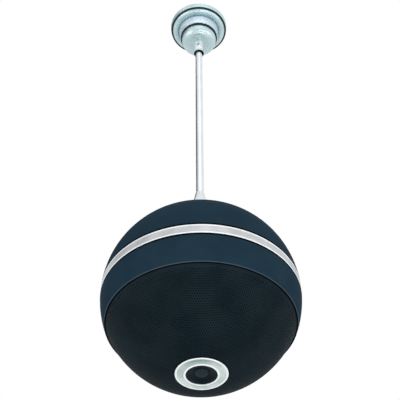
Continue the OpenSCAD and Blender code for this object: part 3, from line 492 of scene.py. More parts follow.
def lathe(name: str, profile: Sequence[Point], rise: float = 0.0, steps: int = 144,
          edge: float = 0.0, closed: bool = True) -> bpy.types.Object:
    """Turns a profile round the Z axis and rounds its sharp edges.

    Args:
        name: name of the new object.
        profile: points as (radius, height) in millimetres.
        rise: height added to all of them, such as the ball's centre.
        steps: number of steps round the axis.
        edge: width of the bevel on sharp edges, or 0 for none.
        closed: whether the last point joins the first.

    Returns:
        The new object, with its place in its mesh.
    """
    bm = bmesh.new()
    verts = [bm.verts.new((r * MM, 0, (z + rise) * MM)) for r, z in profile]
    pairs = list(zip(verts, verts[1:])) + ([(verts[-1], verts[0])] if closed else [])
    edges = [bm.edges.new(pair) for pair in pairs if pair[0] is not pair[1]]
    bmesh.ops.spin(bm, geom=verts + edges, cent=(0, 0, 0), axis=(0, 0, 1),
                   angle=2 * math.pi, steps=steps, use_merge=True, use_duplicate=False)
    bmesh.ops.remove_doubles(bm, verts=bm.verts, dist=MERGE_WITHIN)
    bmesh.ops.recalc_face_normals(bm, faces=bm.faces)
    if edge:
        sharp = [e for e in bm.edges if len(e.link_faces) == 2
                 and e.calc_face_angle(0) > SHARP_ANGLE]
        bmesh.ops.bevel(bm, geom=sharp, offset=edge * MM, segments=2, profile=0.5,
                        affect="EDGES", material=-1, clamp_overlap=True)
    return as_object(name, bm)


def as_object(name: str, bm: bmesh.types.BMesh) -> bpy.types.Object:
    """Makes a smooth-shaded object of a bmesh and frees it.

    Args:
        name: name of the new object.
        bm: the finished bmesh, in metres.

    Returns:
        The object, linked to the scene.
    """
    mesh = bpy.data.meshes.new(name)
    bm.to_mesh(mesh)
    bm.free()
    mesh.shade_smooth()
    mesh.set_sharp_from_angle(angle=SMOOTH_ANGLE)
    obj = bpy.data.objects.new(name, mesh)
    bpy.context.scene.collection.objects.link(obj)
    return obj


@dataclass
class Assembly:
    """A group of pieces that is built and dressed together."""

    ball_z: float = -650.0
    ball_r: float = 135.0
    rod_r: float = 6.0

    def place(self, obj: bpy.types.Object, finish: Finish, slot: str,
              *nodes: str) -> bpy.types.Object:
        """Dresses a new piece, rides it on the part, hides the CAD nodes that it replaces and
        logs it.

        Args:
            obj: the new piece.
            finish: its finish.
            slot: the record's material slot; not used.
            nodes: CAD nodes that it replaces.

        Returns:
            The same piece.
        """
        finish.dress(obj)
        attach(obj, "root")
        if nodes:
            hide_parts(*nodes)
        log.info("%s: %d faces, %s", obj.name, len(obj.data.polygons), finish.name)
        return obj


@dataclass
class Canopy(Assembly):
    """Stepped rose at the ceiling with the lower cup and its clamp neck, with dark rings of
    painted shade in the groove and gaps and a strip of painted light on the drum.
    """

    rose_r: float = 50.7
    edge_h: float = 1.6
    band_h: float = 10.0
    band_r: float = 49.6
    groove_h: float = 2.0
    groove_d: float = 5.0
    step_h: float = 4.2
    step_out: float = 2.0
    swell: float = 2.2
    crease: float = 1.3
    crease_d: float = 2.0
    drum_top_r: float = 35.6
    drum_low_r: float = 33.7
    drum_h: float = 20.8
    rose_t: float = 1.2
    recess: float = 4.6
    gasket_t: float = 1.0
    cup_r: float = 30.6
    skirt_h: float = 17.0
    round_r: float = 6.0
    dome_h: float = 3.0
    cup_t: float = 1.4
    neck_r: float = 7.5
    neck_len: float = 19.0
    mouth_len: float = 9.0
    mouth_r: float = 9.0
    pocket: float = 6.0
    bore_r: float = 6.15
    wrap_shade_h: float = 0.6
    shade_w: float = 1.9
    wrap_out: float = 0.15
    fit: float = 0.02
    drum_light_down: float = 3.2
    drum_light_up: float = 0.6
    wrap_shade_up: float = 1.6
    cup_shade_h: float = 3.2
    cup_shade_w: float = 1.6
    bush_h: float = 0.7

    def build(self) -> None:
        """Builds the rose, the cup with its neck, the drum's strip of painted light and the rings
        of painted shade.
        """
        self.build_rose()
        self.build_cup()
        self.build_groove_shades()
        self.build_drum_light()
        self.build_cup_shades()

    def build_rose(self) -> None:
        """Turns the pressed rose as one sheet with a groove and a crease."""
        drum_top = -self.band_h - self.step_h
        drum_low = drum_top - self.drum_h
        groove_r = self.band_r - self.groove_d
        step_r = groove_r + self.step_out
        groove_z = -self.band_h - self.groove_h
        crease_z = drum_top + self.crease_d
        low_in = self.drum_low_r - self.rose_t
        web = drum_low + self.recess
        t = self.rose_t
        profile = [
            (self.rose_r, 0), (self.rose_r, -self.edge_h),
            *arc((self.rose_r - 0.5, -self.edge_h - 0.8), (self.band_r, -self.band_h), 0.5, 8),
            (groove_r, -self.band_h), (groove_r, groove_z + 0.4),
            (step_r - 0.6, groove_z + 0.2),
            *arc((step_r, groove_z), (self.drum_top_r + self.crease, drum_top + 0.4),
                 self.swell, 14),
            (self.drum_top_r, crease_z), (self.drum_top_r - 0.6, crease_z - 0.3),
            (self.drum_top_r, drum_top - 0.2), (self.drum_low_r, drum_low + 0.5),
            (self.drum_low_r - 0.4, drum_low), (low_in + 0.3, drum_low),
            (low_in, drum_low + 0.3), (low_in, web), (self.rod_r + 8, web),
            (self.rod_r + 8, web + t), (low_in, web + t),
            (self.drum_top_r - t - 0.6, crease_z + t),
            (groove_r - t, -self.band_h + t), (self.band_r - t, -self.band_h + t),
            (self.rose_r - t, -2), (self.rose_r - t, 0)]
        self.place(lathe("rose_pressing", profile, edge=0.15), SATIN_SILVER, "satin_steel",
                   "ceiling_rose")

    def build_cup(self) -> None:
        """Turns the domed cup, and its polished neck with the flared mouth; the neck's brighter
        finish is partly painted highlight.
        """
        web = -self.band_h - self.step_h - self.drum_h + self.recess
        top = web - self.gasket_t
        low = -self.band_h - self.step_h - self.drum_h - self.skirt_h
        dome = low - self.dome_h
        neck_low = dome - self.neck_len
        mouth_low = neck_low - self.mouth_len
        in_r = self.cup_r - self.cup_t
        neck_top = dome + 2
        cup = [
            (self.cup_r, top),
            *self.dome_line(self.neck_r + 1.5, self.cup_r, dome, low + 2 * self.round_r),
            (self.neck_r + 0.5, dome - 0.5), (self.neck_r, dome - 1.2),
            (self.neck_r, neck_top), (self.neck_r + 2, neck_top),
            (in_r - self.round_r - 1, low + 1.2), (in_r, low + self.round_r + 0.6),
            (in_r, top)]
        neck = [
            (self.neck_r, dome - 1), (self.neck_r, neck_low + 0.5), (self.neck_r - 0.5, neck_low),
            (self.neck_r, neck_low - 0.5),
            *arc((self.neck_r, neck_low - 1), (self.mouth_r, mouth_low), -0.4, 8),
            (self.mouth_r - 0.7, mouth_low), (self.mouth_r - 1.6, mouth_low + self.pocket - 1),
            (self.bore_r, mouth_low + self.pocket), (self.bore_r, neck_top + 3),
            (self.neck_r, neck_top + 3)]
        self.place(lathe("cup_spinning", cup, edge=0.1), SATIN_SILVER, "satin_steel",
                   "canopy_cup")
        self.place(lathe("cup_neck", neck, edge=0.1), NECK_POLISH_AND_HIGHLIGHT, "satin_steel")

    def dome_line(self, low_r: float, high_r: float, low: float, high: float,
                  power: float = 3.0, n: int = 28) -> list[Point]:
        """Line of a full, evenly rounded dome from its side wall to its middle.

        Args:
            low_r: radius at the middle end.
            high_r: radius of the side wall.
            low: height of the middle end.
            high: height at which the wall starts to turn in.
            power: fullness of the corner; 2 would be an ellipse.
            n: number of steps.

        Returns:
            The n + 1 points, from the wall inwards.
        """
        line = []
        for i in range(n + 1):
            a = math.pi / 2 * i / n
            line.append((low_r + (high_r - low_r) * math.cos(a) ** (2 / power),
                         high + (low - high) * math.sin(a) ** (2 / power)))
        return line

    def build_groove_shades(self) -> None:
        """Builds the dark ring that wraps the rim's lower edge and the teal lip inside the
        groove, both painted shade in the groove.
        """
        band_low, groove_low = -self.band_h, -self.band_h - self.groove_h
        outer, inner = self.band_r + self.wrap_out, self.band_r - self.shade_w
        step_r = self.band_r - self.groove_d + self.step_out
        wrap = [(inner, band_low - self.wrap_shade_h), (outer, band_low - self.wrap_shade_h),
                (outer, band_low + self.wrap_shade_up), (self.band_r - 0.1, band_low + self.wrap_shade_up),
                (self.band_r - 0.1, band_low - self.fit), (inner, band_low - self.fit)]
        lip = [(inner, band_low - self.wrap_shade_h + 0.1), (step_r + 0.15, groove_low - 0.05),
               (step_r + 0.1, groove_low + 0.1), (step_r + 0.1, band_low - 0.1),
               (inner, band_low - 0.1)]
        self.place(lathe("groove_shade_wrap", wrap, edge=0.05), SHADE_GREY, "black_rubber")
        self.place(lathe("groove_shade_lip", lip), SHADE_TEAL, "black_rubber")

    def build_drum_light(self) -> None:
        """Builds a paler strip over the rose's drum, which is painted light."""
        drum_top = -self.band_h - self.step_h
        start, end = drum_top - self.drum_light_down, drum_top - self.drum_h + self.drum_light_up
        taper = (self.drum_top_r - self.drum_low_r) * self.drum_light_down / self.drum_h
        top_r, low_r = self.drum_top_r - taper, self.drum_low_r
        lit_strip = [(top_r + 0.06, start), (low_r + 0.06, end), (low_r - 0.1, end),
                  (top_r - 0.1, start)]
        self.place(lathe("drum_painted_light", lit_strip), LIT_DRUM_SILVER, "satin_steel")

    def build_cup_shades(self) -> None:
        """Builds the dark ring round the cup's top, painted shade in the gap under the drum, and
        the black bush in the mouth, which is partly painted shade round the rod.
        """
        drum_low = -self.band_h - self.step_h - self.drum_h
        mouth_low = (drum_low - self.skirt_h - self.dome_h - self.neck_len
                     - self.mouth_len)
        rings = (("cup_gap_shade", SHADE_GREY, self.cup_r + 0.05, self.cup_r + self.cup_shade_w,
                  drum_low - self.cup_shade_h, drum_low - self.fit),
                 ("mouth_bush", SHADE_BLACK, self.rod_r + 0.05, self.mouth_r - 0.2,
                  mouth_low - self.bush_h, mouth_low - self.fit))
        for name, finish, inner, outer, low, top in rings:
            ring = [(inner, low), (outer, low), (outer, top), (inner, top)]
            self.place(lathe(name, ring, edge=0.2), finish, "black_rubber")


@dataclass
class Tube(Assembly):
    """The hanging tube and the trumpet fitting on the ball."""

    foot_r: float = 31.0
    top_r: float = 6.8
    height: float = 71.0
    wall: float = 1.8
    web_h: float = 6.0
    collar_h: float = 10.0
    bow: float = 3.0
    bore_r: float = 6.15
    pad_z: float = 135.8

    def build(self) -> None:
        """Builds the trumpet; the tube itself is the CAD node."""
        foot_z = math.sqrt(self.ball_r ** 2 - self.foot_r ** 2)
        top_z = self.pad_z + self.height
        web = self.pad_z + self.web_h
        top, foot = Vector((self.top_r, top_z - 0.5)), Vector((self.foot_r, foot_z + 1))
        share = (web - foot.y) / (top.y - foot.y)
        inner = foot + (top - foot) * share - Vector((self.wall + self.bow, 0))
        profile = [
            (self.bore_r, top_z), (self.top_r - 0.5, top_z),
            *arc(tuple(top), tuple(foot), -self.bow, 28),
            (self.foot_r, foot_z + 0.1), (self.foot_r - self.wall, foot_z + 0.6),
            (self.foot_r - self.wall, self.pad_z), (self.bore_r, self.pad_z),
            (self.bore_r, web), tuple(inner), (self.bore_r + 0.4, top_z - self.collar_h),
            (self.bore_r, top_z - self.collar_h)]
        self.place(lathe("trumpet", profile, self.ball_z, edge=0.1), TUBE_SILVER,
                   "satin_steel", "ferrule")


@dataclass
class Ball(Assembly):
    """Lower shell with its lip, and the metal band with its edges; black rings paint the shade in
    the gaps, and pale strips paint highlights on the band's edges and the lip.
    """

    wall: float = 3.0
    band_low: float = -4.5
    band_top: float = 10.5
    gap: float = 1.0
    band_t: float = 3.0
    fit: float = 0.15
    tongue_h: float = 7.0
    spigot_t: float = 3.0
    lip_z: float = -46.0
    front_z: float = -42.0
    ledge_z: float = -35.0
    ledge_t: float = 4.0
    ledge_r: float = 113.02
    lip_t: float = 1.5
    shade_lap: float = 1.9
    face_in: float = 0.1
    edge_w: float = 2.3
    lip_w: float = 1.1
    gap_shade_w: float = 1.6

    def wall_r(self, z: float, inside: float = 0.0) -> float:
        """Radius of the ball at a height.

        Args:
            z: height from the ball's centre.
            inside: how far inside the ball's face.

        Returns:
            The radius there.
        """
        return math.sqrt((self.ball_r - inside) ** 2 - z * z)

    def build(self) -> None:
        """Builds the lower shell, the black rings of painted shade in the band's gaps, the band
        with its painted highlight edges, and the lip's painted highlight and gap shade.
        """
        rim, top = self.band_low - self.gap, self.band_top + self.gap
        spigot_r = self.ball_r - self.band_t - self.fit
        inner_r = spigot_r - self.spigot_t
        tongue_r = self.wall_r(top + self.tongue_h, self.wall) - 4 * self.fit
        lip_in = self.wall_r(self.lip_z) - self.lip_t
        inside = sphere_line(self.ball_r - self.wall, self.ledge_z + self.ledge_t, rim - 15, n=8)
        profile = [
            *sphere_line(self.ball_r, self.lip_z, rim, n=36),
            (spigot_r, rim), (spigot_r, top), (tongue_r, top), (tongue_r, top + self.tongue_h),
            (inner_r, top + self.tongue_h), (inner_r, rim - 15), *reversed(inside),
            (self.ledge_r, self.ledge_z + self.ledge_t), (self.ledge_r, self.ledge_z),
            (self.wall_r(self.ledge_z, self.wall), self.ledge_z),
            (self.wall_r(self.front_z, self.wall), self.front_z),
            (lip_in, self.front_z), (lip_in, self.lip_z)]
        self.place(lathe("lower_ball_shell", profile, self.ball_z, edge=0.45), SLATE_PLASTIC,
                   "shell_plastic", "lower_shell")
        self.build_gap_shades(spigot_r + self.fit)
        self.build_band(spigot_r + self.fit)
        self.build_lip_light_and_shade()

    def build_gap_shades(self, stem: float) -> None:
        """Builds the two black rings that fill the joints beside the band: painted shade in the
        gaps.

        Args:
            stem: the rings' inner radius.
        """
        for name, z, shell in (("band_gap_shade_low", self.band_low, -1),
                               ("band_gap_shade_top", self.band_top, 1)):
            far = z + shell * self.gap
            lap = far + shell * self.shade_lap
            strip = [(stem, z + shell * 0.02), (self.wall_r(z) - 0.02, z + shell * 0.02),
                     (self.wall_r(far) + 0.08, far), (self.wall_r(lap) + 0.1, lap),
                     (self.wall_r(lap) - 0.1, lap), (self.wall_r(far) - 0.1, far - shell * 0.02),
                     (stem, far - shell * 0.02)]
            self.place(lathe(name, strip, self.ball_z, steps=FINE_STEPS), SHADE_BLACK,
                       "black_rubber")

    def build_band(self, inner: float) -> None:
        """Builds the brushed metal band and its two edges, whose near-white strips are painted
        highlights.

        Args:
            inner: the band's inner radius.
        """
        low, top = self.band_low, self.band_top
        under = self.face_in
        face = [*sphere_line(self.ball_r - under, low, top, n=12), (inner, top), (inner, low)]
        self.place(lathe("band_strip", face, self.ball_z, edge=0.2), BAND_SILVER,
                   "band_aluminium", "trim_band")
        for name, start in (("band_edge_low", low + 0.1),
                            ("band_edge_top", top - self.edge_w - 0.1)):
            end = start + self.edge_w
            middle = (start + end) / 2
            edge = [(self.wall_r(start, under) - 0.1, start),
                    (self.wall_r(start, under) + 0.06, start + 0.1),
                    (self.wall_r(middle, under) + 0.08, middle),
                    (self.wall_r(end, under) + 0.06, end - 0.1),
                    (self.wall_r(end, under) - 0.1, end)]
            self.place(lathe(name, edge, self.ball_z, steps=FINE_STEPS), HIGHLIGHT_SILVER,
                       "band_aluminium")

    def build_lip_light_and_shade(self) -> None:
        """Builds a paler strip on the lip's edge, which is painted highlight, and the dark ring
        against the grille, which is painted shade in the gap.
        """
        z = self.lip_z
        highlight = [(self.wall_r(z, 0.1), z - 0.02), (self.wall_r(z) + 0.03, z),
                  (self.wall_r(z + self.lip_w) + 0.03, z + self.lip_w),
                  (self.wall_r(z + self.lip_w, 0.1), z + self.lip_w)]
        self.place(lathe("lip_highlight", highlight, self.ball_z, steps=FINE_STEPS), SLATE_HIGHLIGHT,
                   "shell_plastic")
        # The dark ring here paints the shade in the gap between the lip and the grille.
        outer = self.wall_r(z) - 0.4
        shade_ring = [(outer, z - 0.02), (outer, z - 0.25), (outer - self.gap_shade_w, z - 0.25),
                (outer - self.gap_shade_w, z - 0.02)]
        self.place(lathe("grille_gap_shade", shade_ring, self.ball_z, steps=FINE_STEPS), SHADE_BLACK,
                   "black_rubber")


@dataclass
class PoleRing(Assembly):
    """Flat ring on the grille's crown with two rounded lips, whose brightness is painted
    highlight, and a dark ring of painted contact shade round it.
    """

    out_r: float = 33.8
    bore_r: float = 20.2
    sheet: float = 0.8
    seat: float = 0.05
    collar_t: float = 1.2
    collar_h: float = 7.0
    lip_w: float = 2.6
    lip_h: float = 0.6
    shade_w: float = 1.5
    face_at_bore: float = -122.3
    slope: float = 6.7

    def face(self, r: float) -> float:
        """Height of the ring's lower face at a radius.

        Args:
            r: the radius.

        Returns:
            Its height from the ball's centre.
        """
        return self.face_at_bore + (r - self.bore_r) * math.tan(math.radians(self.slope))

    def build(self) -> None:
        """Builds the plate with its collar, and the lips."""
        collar_r = self.bore_r + self.collar_t
        back = self.sheet - self.seat
        top = self.face(self.bore_r) + self.sheet + self.collar_h
        plate = [
            (self.bore_r, top), (self.bore_r, self.face(self.bore_r)),
            (self.out_r, self.face(self.out_r)), (self.out_r, self.face(self.out_r) + back),
            (collar_r, self.face(collar_r) + back), (collar_r, top)]
        self.place(lathe("ring_plate", plate, self.ball_z, edge=0.05), RING_SILVER,
                   "ring_aluminium", "trim_ring")
        for name, start in (("ring_lip_inner", self.bore_r),
                            ("ring_lip_outer", self.out_r - self.lip_w)):
            end = start + self.lip_w
            lip = [*arc((start, self.face(start) + 0.1), (end, self.face(end) + 0.1),
                        -self.lip_h, 10)]
            self.place(lathe(name, lip, self.ball_z), HIGHLIGHT_SILVER, "ring_aluminium")
        # Dark ring round the plate: painted contact shade on the grille.
        base = self.face(self.out_r) + self.sheet - 0.12
        shade_ring = [(self.out_r - 0.3, base), (self.out_r + self.shade_w, base + 0.2),
                (self.out_r + self.shade_w, base + 0.4), (self.out_r - 0.3, base + 0.1)]
        self.place(lathe("ring_contact_shade", shade_ring, self.ball_z), SHADE_BLACK, "black_rubber")


@dataclass
class Grille(Assembly):
    """Finely perforated steel dome with a flatter crown, and the cloth behind it."""

    lip_depth: float = 46.0
    edge_r: float = 124.82
    bulge: float = 2.2
    sheet: float = 0.9
    crown_r: float = 60.0
    bend_r: float = 79.0
    slope: float = 6.7
    pitch: float = 3.5
    hole_r: float = 1.24
    bore_r: float = 21.55
    border: float = 2.6
    flange_z: float = -42.0
    flange_w: float = 8.0
    cut_share: float = 0.66
    dome_r: float = field(init=False)
    centre: float = field(init=False)
    crown_a: float = field(init=False)

    def __post_init__(self) -> None:
        """Works out the dome's sphere and where its crown bends."""
        self.dome_r = self.ball_r + self.bulge
        self.centre = -self.lip_depth + math.sqrt(self.dome_r ** 2 - self.edge_r ** 2)
        self.crown_a = math.asin(self.crown_r / self.dome_r)

    def outline(self) -> list[Point]:
        """The dome's outer line from near the axis to the rim.

        Returns:
            Points as (radius, height), close together.
        """
        slope, rim = math.radians(self.slope), math.asin(self.edge_r / self.dome_r)
        bend_x = self.crown_r - self.bend_r * math.sin(self.crown_a)
        bend_z = (self.centre - self.dome_r * math.cos(self.crown_a)
                  + self.bend_r * math.cos(self.crown_a))
        out_x = bend_x + self.bend_r * math.sin(slope)
        out_z = bend_z - self.bend_r * math.cos(slope)
        start = self.bore_r - 1.0
        line = [(start, out_z - (out_x - start) * math.tan(slope))]
        for i in range(25):
            a = slope + (self.crown_a - slope) * i / 24
            line.append((bend_x + self.bend_r * math.sin(a), bend_z - self.bend_r * math.cos(a)))
        for i in range(1, 61):
            a = self.crown_a + (rim - self.crown_a) * i / 60
            line.append((self.dome_r * math.sin(a), self.centre - self.dome_r * math.cos(a)))
        return line

    def build(self) -> None:
        """Builds the perforated sheet in parts, its plain border and the cloth."""
        line = self.outline()
        sheet = self.pressed(self.lattice(line), line)
        names = ("grille_mesh_a", "grille_mesh_b", "grille_mesh_c")
        for i, name in enumerate(names):
            nodes = ["grille"] if i == 0 else []
            self.place(self.sector(name, sheet, i, len(names)), GRILLE_PAINT,
                       "grille_paint", *nodes)
        sheet.free()
        self.place(self.border_ring(line), GRILLE_PAINT, "grille_paint")
        inner = [(r, z + self.sheet + 0.5) for r, z in line if r < self.edge_r - 2]
        cloth = inner + [(r, z + 0.4) for r, z in reversed(inner)]
        self.place(lathe("grille_lining", cloth, self.ball_z), GRILLE_CLOTH, "grille_paint")

    def lengths(self, line: Sequence[Point]) -> list[float]:
        """Length of the dome's line up to each of its points, from the axis.

        Args:
            line: the dome's outer line.

        Returns:
            The lengths.
        """
        found = [line[0][0]]
        for (r0, z0), (r1, z1) in zip(line, line[1:]):
            found.append(found[-1] + math.hypot(r1 - r0, z1 - z0))
        return found

    def lattice(self, line: Sequence[Point]) -> bmesh.types.BMesh:
        """Flat sheet with staggered holes, before it is pressed.

        Args:
            line: the dome's outer line.

        Returns:
            The flat sheet, in millimetres.
        """
        outer = self.lengths(line)[-1] - self.border * 0.5
        rows = 2 * math.ceil(outer / (self.pitch * math.sqrt(0.75)))
        columns = 2 * math.ceil(outer / self.pitch) + rows // 2
        bm = bmesh.new()
        bmesh.ops.create_grid(bm, x_segments=columns, y_segments=rows, size=0.5)
        lean = Matrix(((columns * self.pitch, rows * self.pitch / 2, 0),
                       (0, rows * self.pitch * math.sqrt(0.75), 0), (0, 0, 1)))
        bmesh.ops.transform(bm, matrix=lean.to_4x4(), verts=bm.verts)
        far = [v for v in bm.verts if not self.bore_r < v.co.length < outer]
        bmesh.ops.delete(bm, geom=far, context="VERTS")
        bmesh.ops.triangulate(bm, faces=bm.faces, quad_method="SHORT_EDGE")
        inner = [v for v in bm.verts if not v.is_boundary]
        cut = bmesh.ops.bevel(bm, geom=inner, offset=self.hole_r, segments=2, profile=0.5,
                              affect="VERTICES", material=-1, clamp_overlap=False)
        bmesh.ops.delete(bm, geom=cut["faces"], context="FACES")
        log.info("grille: %d holes", len(inner))
        return bm

    def pressed(self, bm: bmesh.types.BMesh, line: Sequence[Point]) -> bmesh.types.BMesh:
        """Bends a flat sheet to the dome's line.

        Args:
            bm: the flat sheet, in millimetres.
            line: the dome's outer line.

        Returns:
            The same sheet as a dome in its place, in metres.
        """
        lengths = self.lengths(line)
        for v in bm.verts:
            flat = v.co.length
            k = min(max(bisect.bisect_left(lengths, flat), 1), len(lengths) - 1)
            t = (flat - lengths[k - 1]) / (lengths[k] - lengths[k - 1])
            (r0, z0), (r1, z1) = line[k - 1], line[k]
            r, z = r0 + (r1 - r0) * t, z0 + (z1 - z0) * t
            v.co = (v.co.x / flat * r * MM, v.co.y / flat * r * MM, (z + self.ball_z) * MM)
        for f in bm.faces:
            f.normal_update()
            if f.normal.z > 0:
                f.normal_flip()
        return bm

    def sector(self, name: str, sheet: bmesh.types.BMesh, i: int, n: int) -> bpy.types.Object:
        """One of n strips of the dome, with the sheet's thickness.

        Args:
            name: name of the new object.
            sheet: the whole dome.
            i: which strip, counted along X.
            n: number of strips.

        Returns:
            The strip.
        """
        bm = sheet.copy()
        half = self.ball_r * MM * self.cut_share
        cuts = [-math.inf] + [half * (2 * k / n - 1) for k in range(1, n)] + [math.inf]
        others = [f for f in bm.faces
                  if not cuts[i] <= f.calc_center_median().x < cuts[i + 1]]
        bmesh.ops.delete(bm, geom=others, context="FACES")
        bmesh.ops.solidify(bm, geom=bm.faces[:], thickness=self.sheet * MM)
        return as_object(name, bm)

    def border_ring(self, line: Sequence[Point]) -> bpy.types.Object:
        """Plain border of the sheet, turned in to the flange on the baffle.

        Args:
            line: the dome's outer line.

        Returns:
            The border as one piece.
        """
        rim = [(r, z - 0.04) for r, z in line if r > self.edge_r - self.border]
        inner_r = self.edge_r - self.flange_w
        top = self.flange_z - 0.05
        profile = rim + [
            (self.edge_r, top), (inner_r, top), (inner_r, top - self.sheet),
            (self.edge_r - self.sheet, top - self.sheet),
            *((r - 0.3, z + self.sheet) for r, z in reversed(rim[:-1]))]
        return lathe("grille_border", profile, self.ball_z, edge=0.08)


@dataclass
class Inside:
    """Finish of each CAD node that stays as it is, by the node's name."""

    coats: dict[str, Finish] = field(default_factory=lambda: {
        "ceiling_bracket": ZINC, "bracket_nut": ZINC, "lock_nut": ZINC,
        "rose_gasket": RUBBER, "clamp_screw": DARK_STEEL, "rod": TUBE_SILVER,
        "upper_shell": SLATE_PLASTIC,
        "hanger_washer": ZINC, "hanger_nut": ZINC, "wadding": FLEECE,
        "baffle_gasket": RUBBER, "baffle": BOARD, "shell_screws": ZINC,
        "grille_magnets": ZINC, "woofer_frame": BASKET, "woofer_gasket": RUBBER,
        "woofer_screws": ZINC, "woofer_surround": RUBBER, "woofer_cone": PAPER,
        "dust_cap": PAPER, "spider": CLOTH, "coil_former": FORMER, "voice_coil": COPPER,
        "front_plate": ZINC, "magnet": FERRITE, "back_plate": ZINC,
        "woofer_terminal": TAG_BOARD, "tweeter_dish": BLACK_PLASTIC,
        "tweeter_dome": DOME_CLOTH, "tweeter_magnet": FERRITE,
        "transformer_core": CORE, "transformer_coil": COPPER,
        "transformer_clamp": ZINC, "crossover_board": CIRCUIT,
        "crossover_capacitor": FILM, "crossover_inductor": COPPER,
        "terminal_block": NYLON})

    def dress(self) -> None:
        """Gives each CAD node its finish."""
        for name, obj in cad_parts.items():
            if name in self.coats:
                self.coats[name].dress(obj)
            elif not obj.hide_render:
                log.warning("%s has no finish", name)


@dataclass(frozen=True)
class Lamp:
    """One soft round lamp."""

    name: str
    place: tuple[float, float, float]
    size: float
    power: float

    def light(self, target: Vector) -> None:
        """Adds the lamp, aimed at a point.

        Args:
            target: the point that it shines at.
        """
        data = bpy.data.lights.new(self.name, "AREA")
        data.shape, data.size, data.energy = "DISK", self.size, self.power
        lamp = bpy.data.objects.new(self.name, data)
        aim = (target - Vector(self.place)).to_track_quat("-Z", "Y")
        lamp.matrix_world = Matrix.Translation(self.place) @ aim.to_matrix().to_4x4()
        bpy.context.scene.collection.objects.link(lamp)


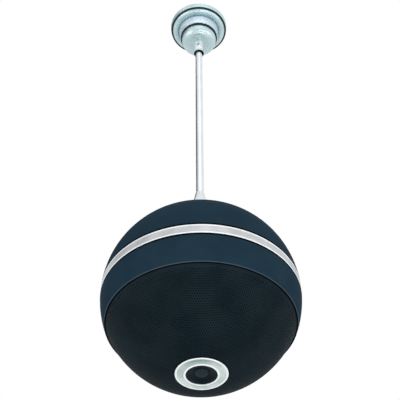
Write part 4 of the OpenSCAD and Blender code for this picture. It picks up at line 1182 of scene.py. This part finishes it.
@dataclass
class Studio:
    """Camera at the photograph's place, soft lamps, white surroundings, floor and screens.

    Its lengths are in metres.
    """

    camera_place: tuple[float, float, float] = (0.0, -0.981, -1.4743)
    elevation: float = 46.05
    yaw: float = 0.013
    roll: float = -0.475
    lens: float = 85.446
    floor_z: float = -2.9
    floor_size: float = 9.0
    flag_r: float = 2.0
    flag_low: float = 1.4
    flag_top: float = 2.8
    flag_from: float = 97.0
    flag_to: float = 200.0
    flag_steps: int = 12
    flag_colour: tuple[float, float, float, float] = (0.02, 0.022, 0.024, 1.0)
    disc_r: float = 0.45
    disc_place: tuple[float, float, float] = (0.0, 0.5, -2.0)
    disc_colour: tuple[float, float, float, float] = (0.12, 0.14, 0.14, 1.0)
    world_grey: tuple[float, float, float, float] = (0.62, 0.63, 0.64, 1.0)
    floor_grey: tuple[float, float, float, float] = (0.8, 0.8, 0.8, 1.0)
    aim: tuple[float, float, float] = (0.0, 0.0, -0.4)
    lamps: tuple[Lamp, ...] = (
        Lamp("key", (0.3, -2.0, 1.3), 2.4, 7.0), Lamp("left", (-1.9, -1.2, -0.9), 1.6, 9.5),
        Lamp("right", (1.9, -1.2, -0.9), 1.6, 9.0), Lamp("under", (0.2, -0.4, -2.5), 1.4, 11.0),
        Lamp("spot", (0.45, -1.4, -0.95), 0.4, 3.0))

    def build(self) -> None:
        """Builds all of the studio."""
        self.build_camera()
        for lamp in self.lamps:
            lamp.light(Vector(self.aim))
        self.build_world()
        self.build_floor()
        self.build_screens()
        bpy.context.scene.view_settings.view_transform = "Standard"

    def build_camera(self) -> None:
        """Places the camera under the ball, looking up."""
        data = bpy.data.cameras.new("camera")
        data.lens = self.lens
        data.sensor_width = 36.0
        data.clip_start, data.clip_end = 0.05, 50.0
        cam = bpy.data.objects.new("camera", data)
        turn = (Euler((math.radians(90 + self.elevation), 0, math.radians(self.yaw)))
                .to_matrix() @ Matrix.Rotation(math.radians(self.roll), 3, "Z"))
        cam.matrix_world = Matrix.Translation(self.camera_place) @ turn.to_4x4()
        bpy.context.scene.collection.objects.link(cam)
        bpy.context.scene.camera = cam

    def seen(self, w: Wiring) -> bpy.types.NodeSocket:
        """Whether a ray is a camera, glossy or transmission ray.

        Args:
            w: wiring of the tree that asks.

        Returns:
            1 for such a ray and 0 for others.
        """
        path = w.add("LightPath").outputs
        return w.maths("MAXIMUM", path["Is Camera Ray"],
                       w.maths("MAXIMUM", path["Is Glossy Ray"],
                               path["Is Transmission Ray"]))

    def build_world(self) -> None:
        """White surroundings for the camera and reflections, a plain grey light for the rest."""
        world = bpy.data.worlds.new("surroundings")
        bpy.context.scene.world = world
        world.use_nodes = True
        w = Wiring(world.node_tree)
        back = world.node_tree.nodes["Background"]
        level = w.mixed(self.seen(w), self.world_grey, (1.0, 1.0, 1.0, 1.0))
        w.tree.links.new(level, back.inputs["Color"])

    def build_floor(self) -> None:
        """Adds the pale floor far below, white where the camera sees it."""
        bm = bmesh.new()
        bmesh.ops.create_grid(bm, x_segments=1, y_segments=1, size=self.floor_size / 2)
        bmesh.ops.translate(bm, verts=bm.verts, vec=(0, 0, self.floor_z))
        floor = as_object("floor", bm)
        mat = bpy.data.materials.new("pale_floor")
        mat.use_nodes = True
        w = Wiring(mat.node_tree)
        plain = mat.node_tree.nodes["Principled BSDF"]
        plain.inputs["Base Color"].default_value = self.floor_grey
        white = w.add("Emission").outputs[0]
        mixed = w.add("MixShader", i0=self.seen(w), i1=plain.outputs[0], i2=white)
        w.tree.links.new(mixed.outputs[0], mat.node_tree.nodes["Material Output"].inputs[0])
        floor.data.materials.append(mat)

    def build_screens(self) -> None:
        """Adds a dark screen high at the left and a grey one below, for the reflections."""
        bm = bmesh.new()
        rows = []
        for i in range(self.flag_steps + 1):
            a = math.radians(self.flag_from + (self.flag_to - self.flag_from)
                             * i / self.flag_steps)
            rows.append([bm.verts.new((self.flag_r * math.cos(a), self.flag_r * math.sin(a), z))
                         for z in (self.flag_low, self.flag_top)])
        for (a, b), (c, d) in zip(rows, rows[1:]):
            bm.faces.new((a, b, d, c))
        self.stage_screen(as_object("dark_flag", bm), self.flag_colour)
        bm = bmesh.new()
        bmesh.ops.create_circle(bm, segments=48, radius=self.disc_r, cap_ends=True)
        bmesh.ops.translate(bm, verts=bm.verts, vec=self.disc_place)
        self.stage_screen(as_object("grey_flag", bm), self.disc_colour)

    def stage_screen(self, flag: bpy.types.Object,
                     colour: tuple[float, float, float, float]) -> None:
        """Stages a screen that only reflections see.

        Args:
            flag: the screen.
            colour: its linear colour.
        """
        flag.visible_camera = flag.visible_diffuse = flag.visible_shadow = False
        mat = bpy.data.materials.new(flag.name + "_felt")
        mat.use_nodes = True
        plain = mat.node_tree.nodes["Principled BSDF"]
        plain.inputs["Base Color"].default_value = colour
        plain.inputs["Specular IOR Level"].default_value = 0.0
        flag.data.materials.append(mat)


def main() -> None:
    """Builds the studio and each sub-assembly in order."""
    logging.basicConfig(level=logging.INFO, format="%(message)s")
    Studio().build()
    Canopy().build()
    Tube().build()
    Ball().build()
    Grille().build()
    PoleRing().build()
    Inside().dress()


if __name__ == "__main__":
    main()
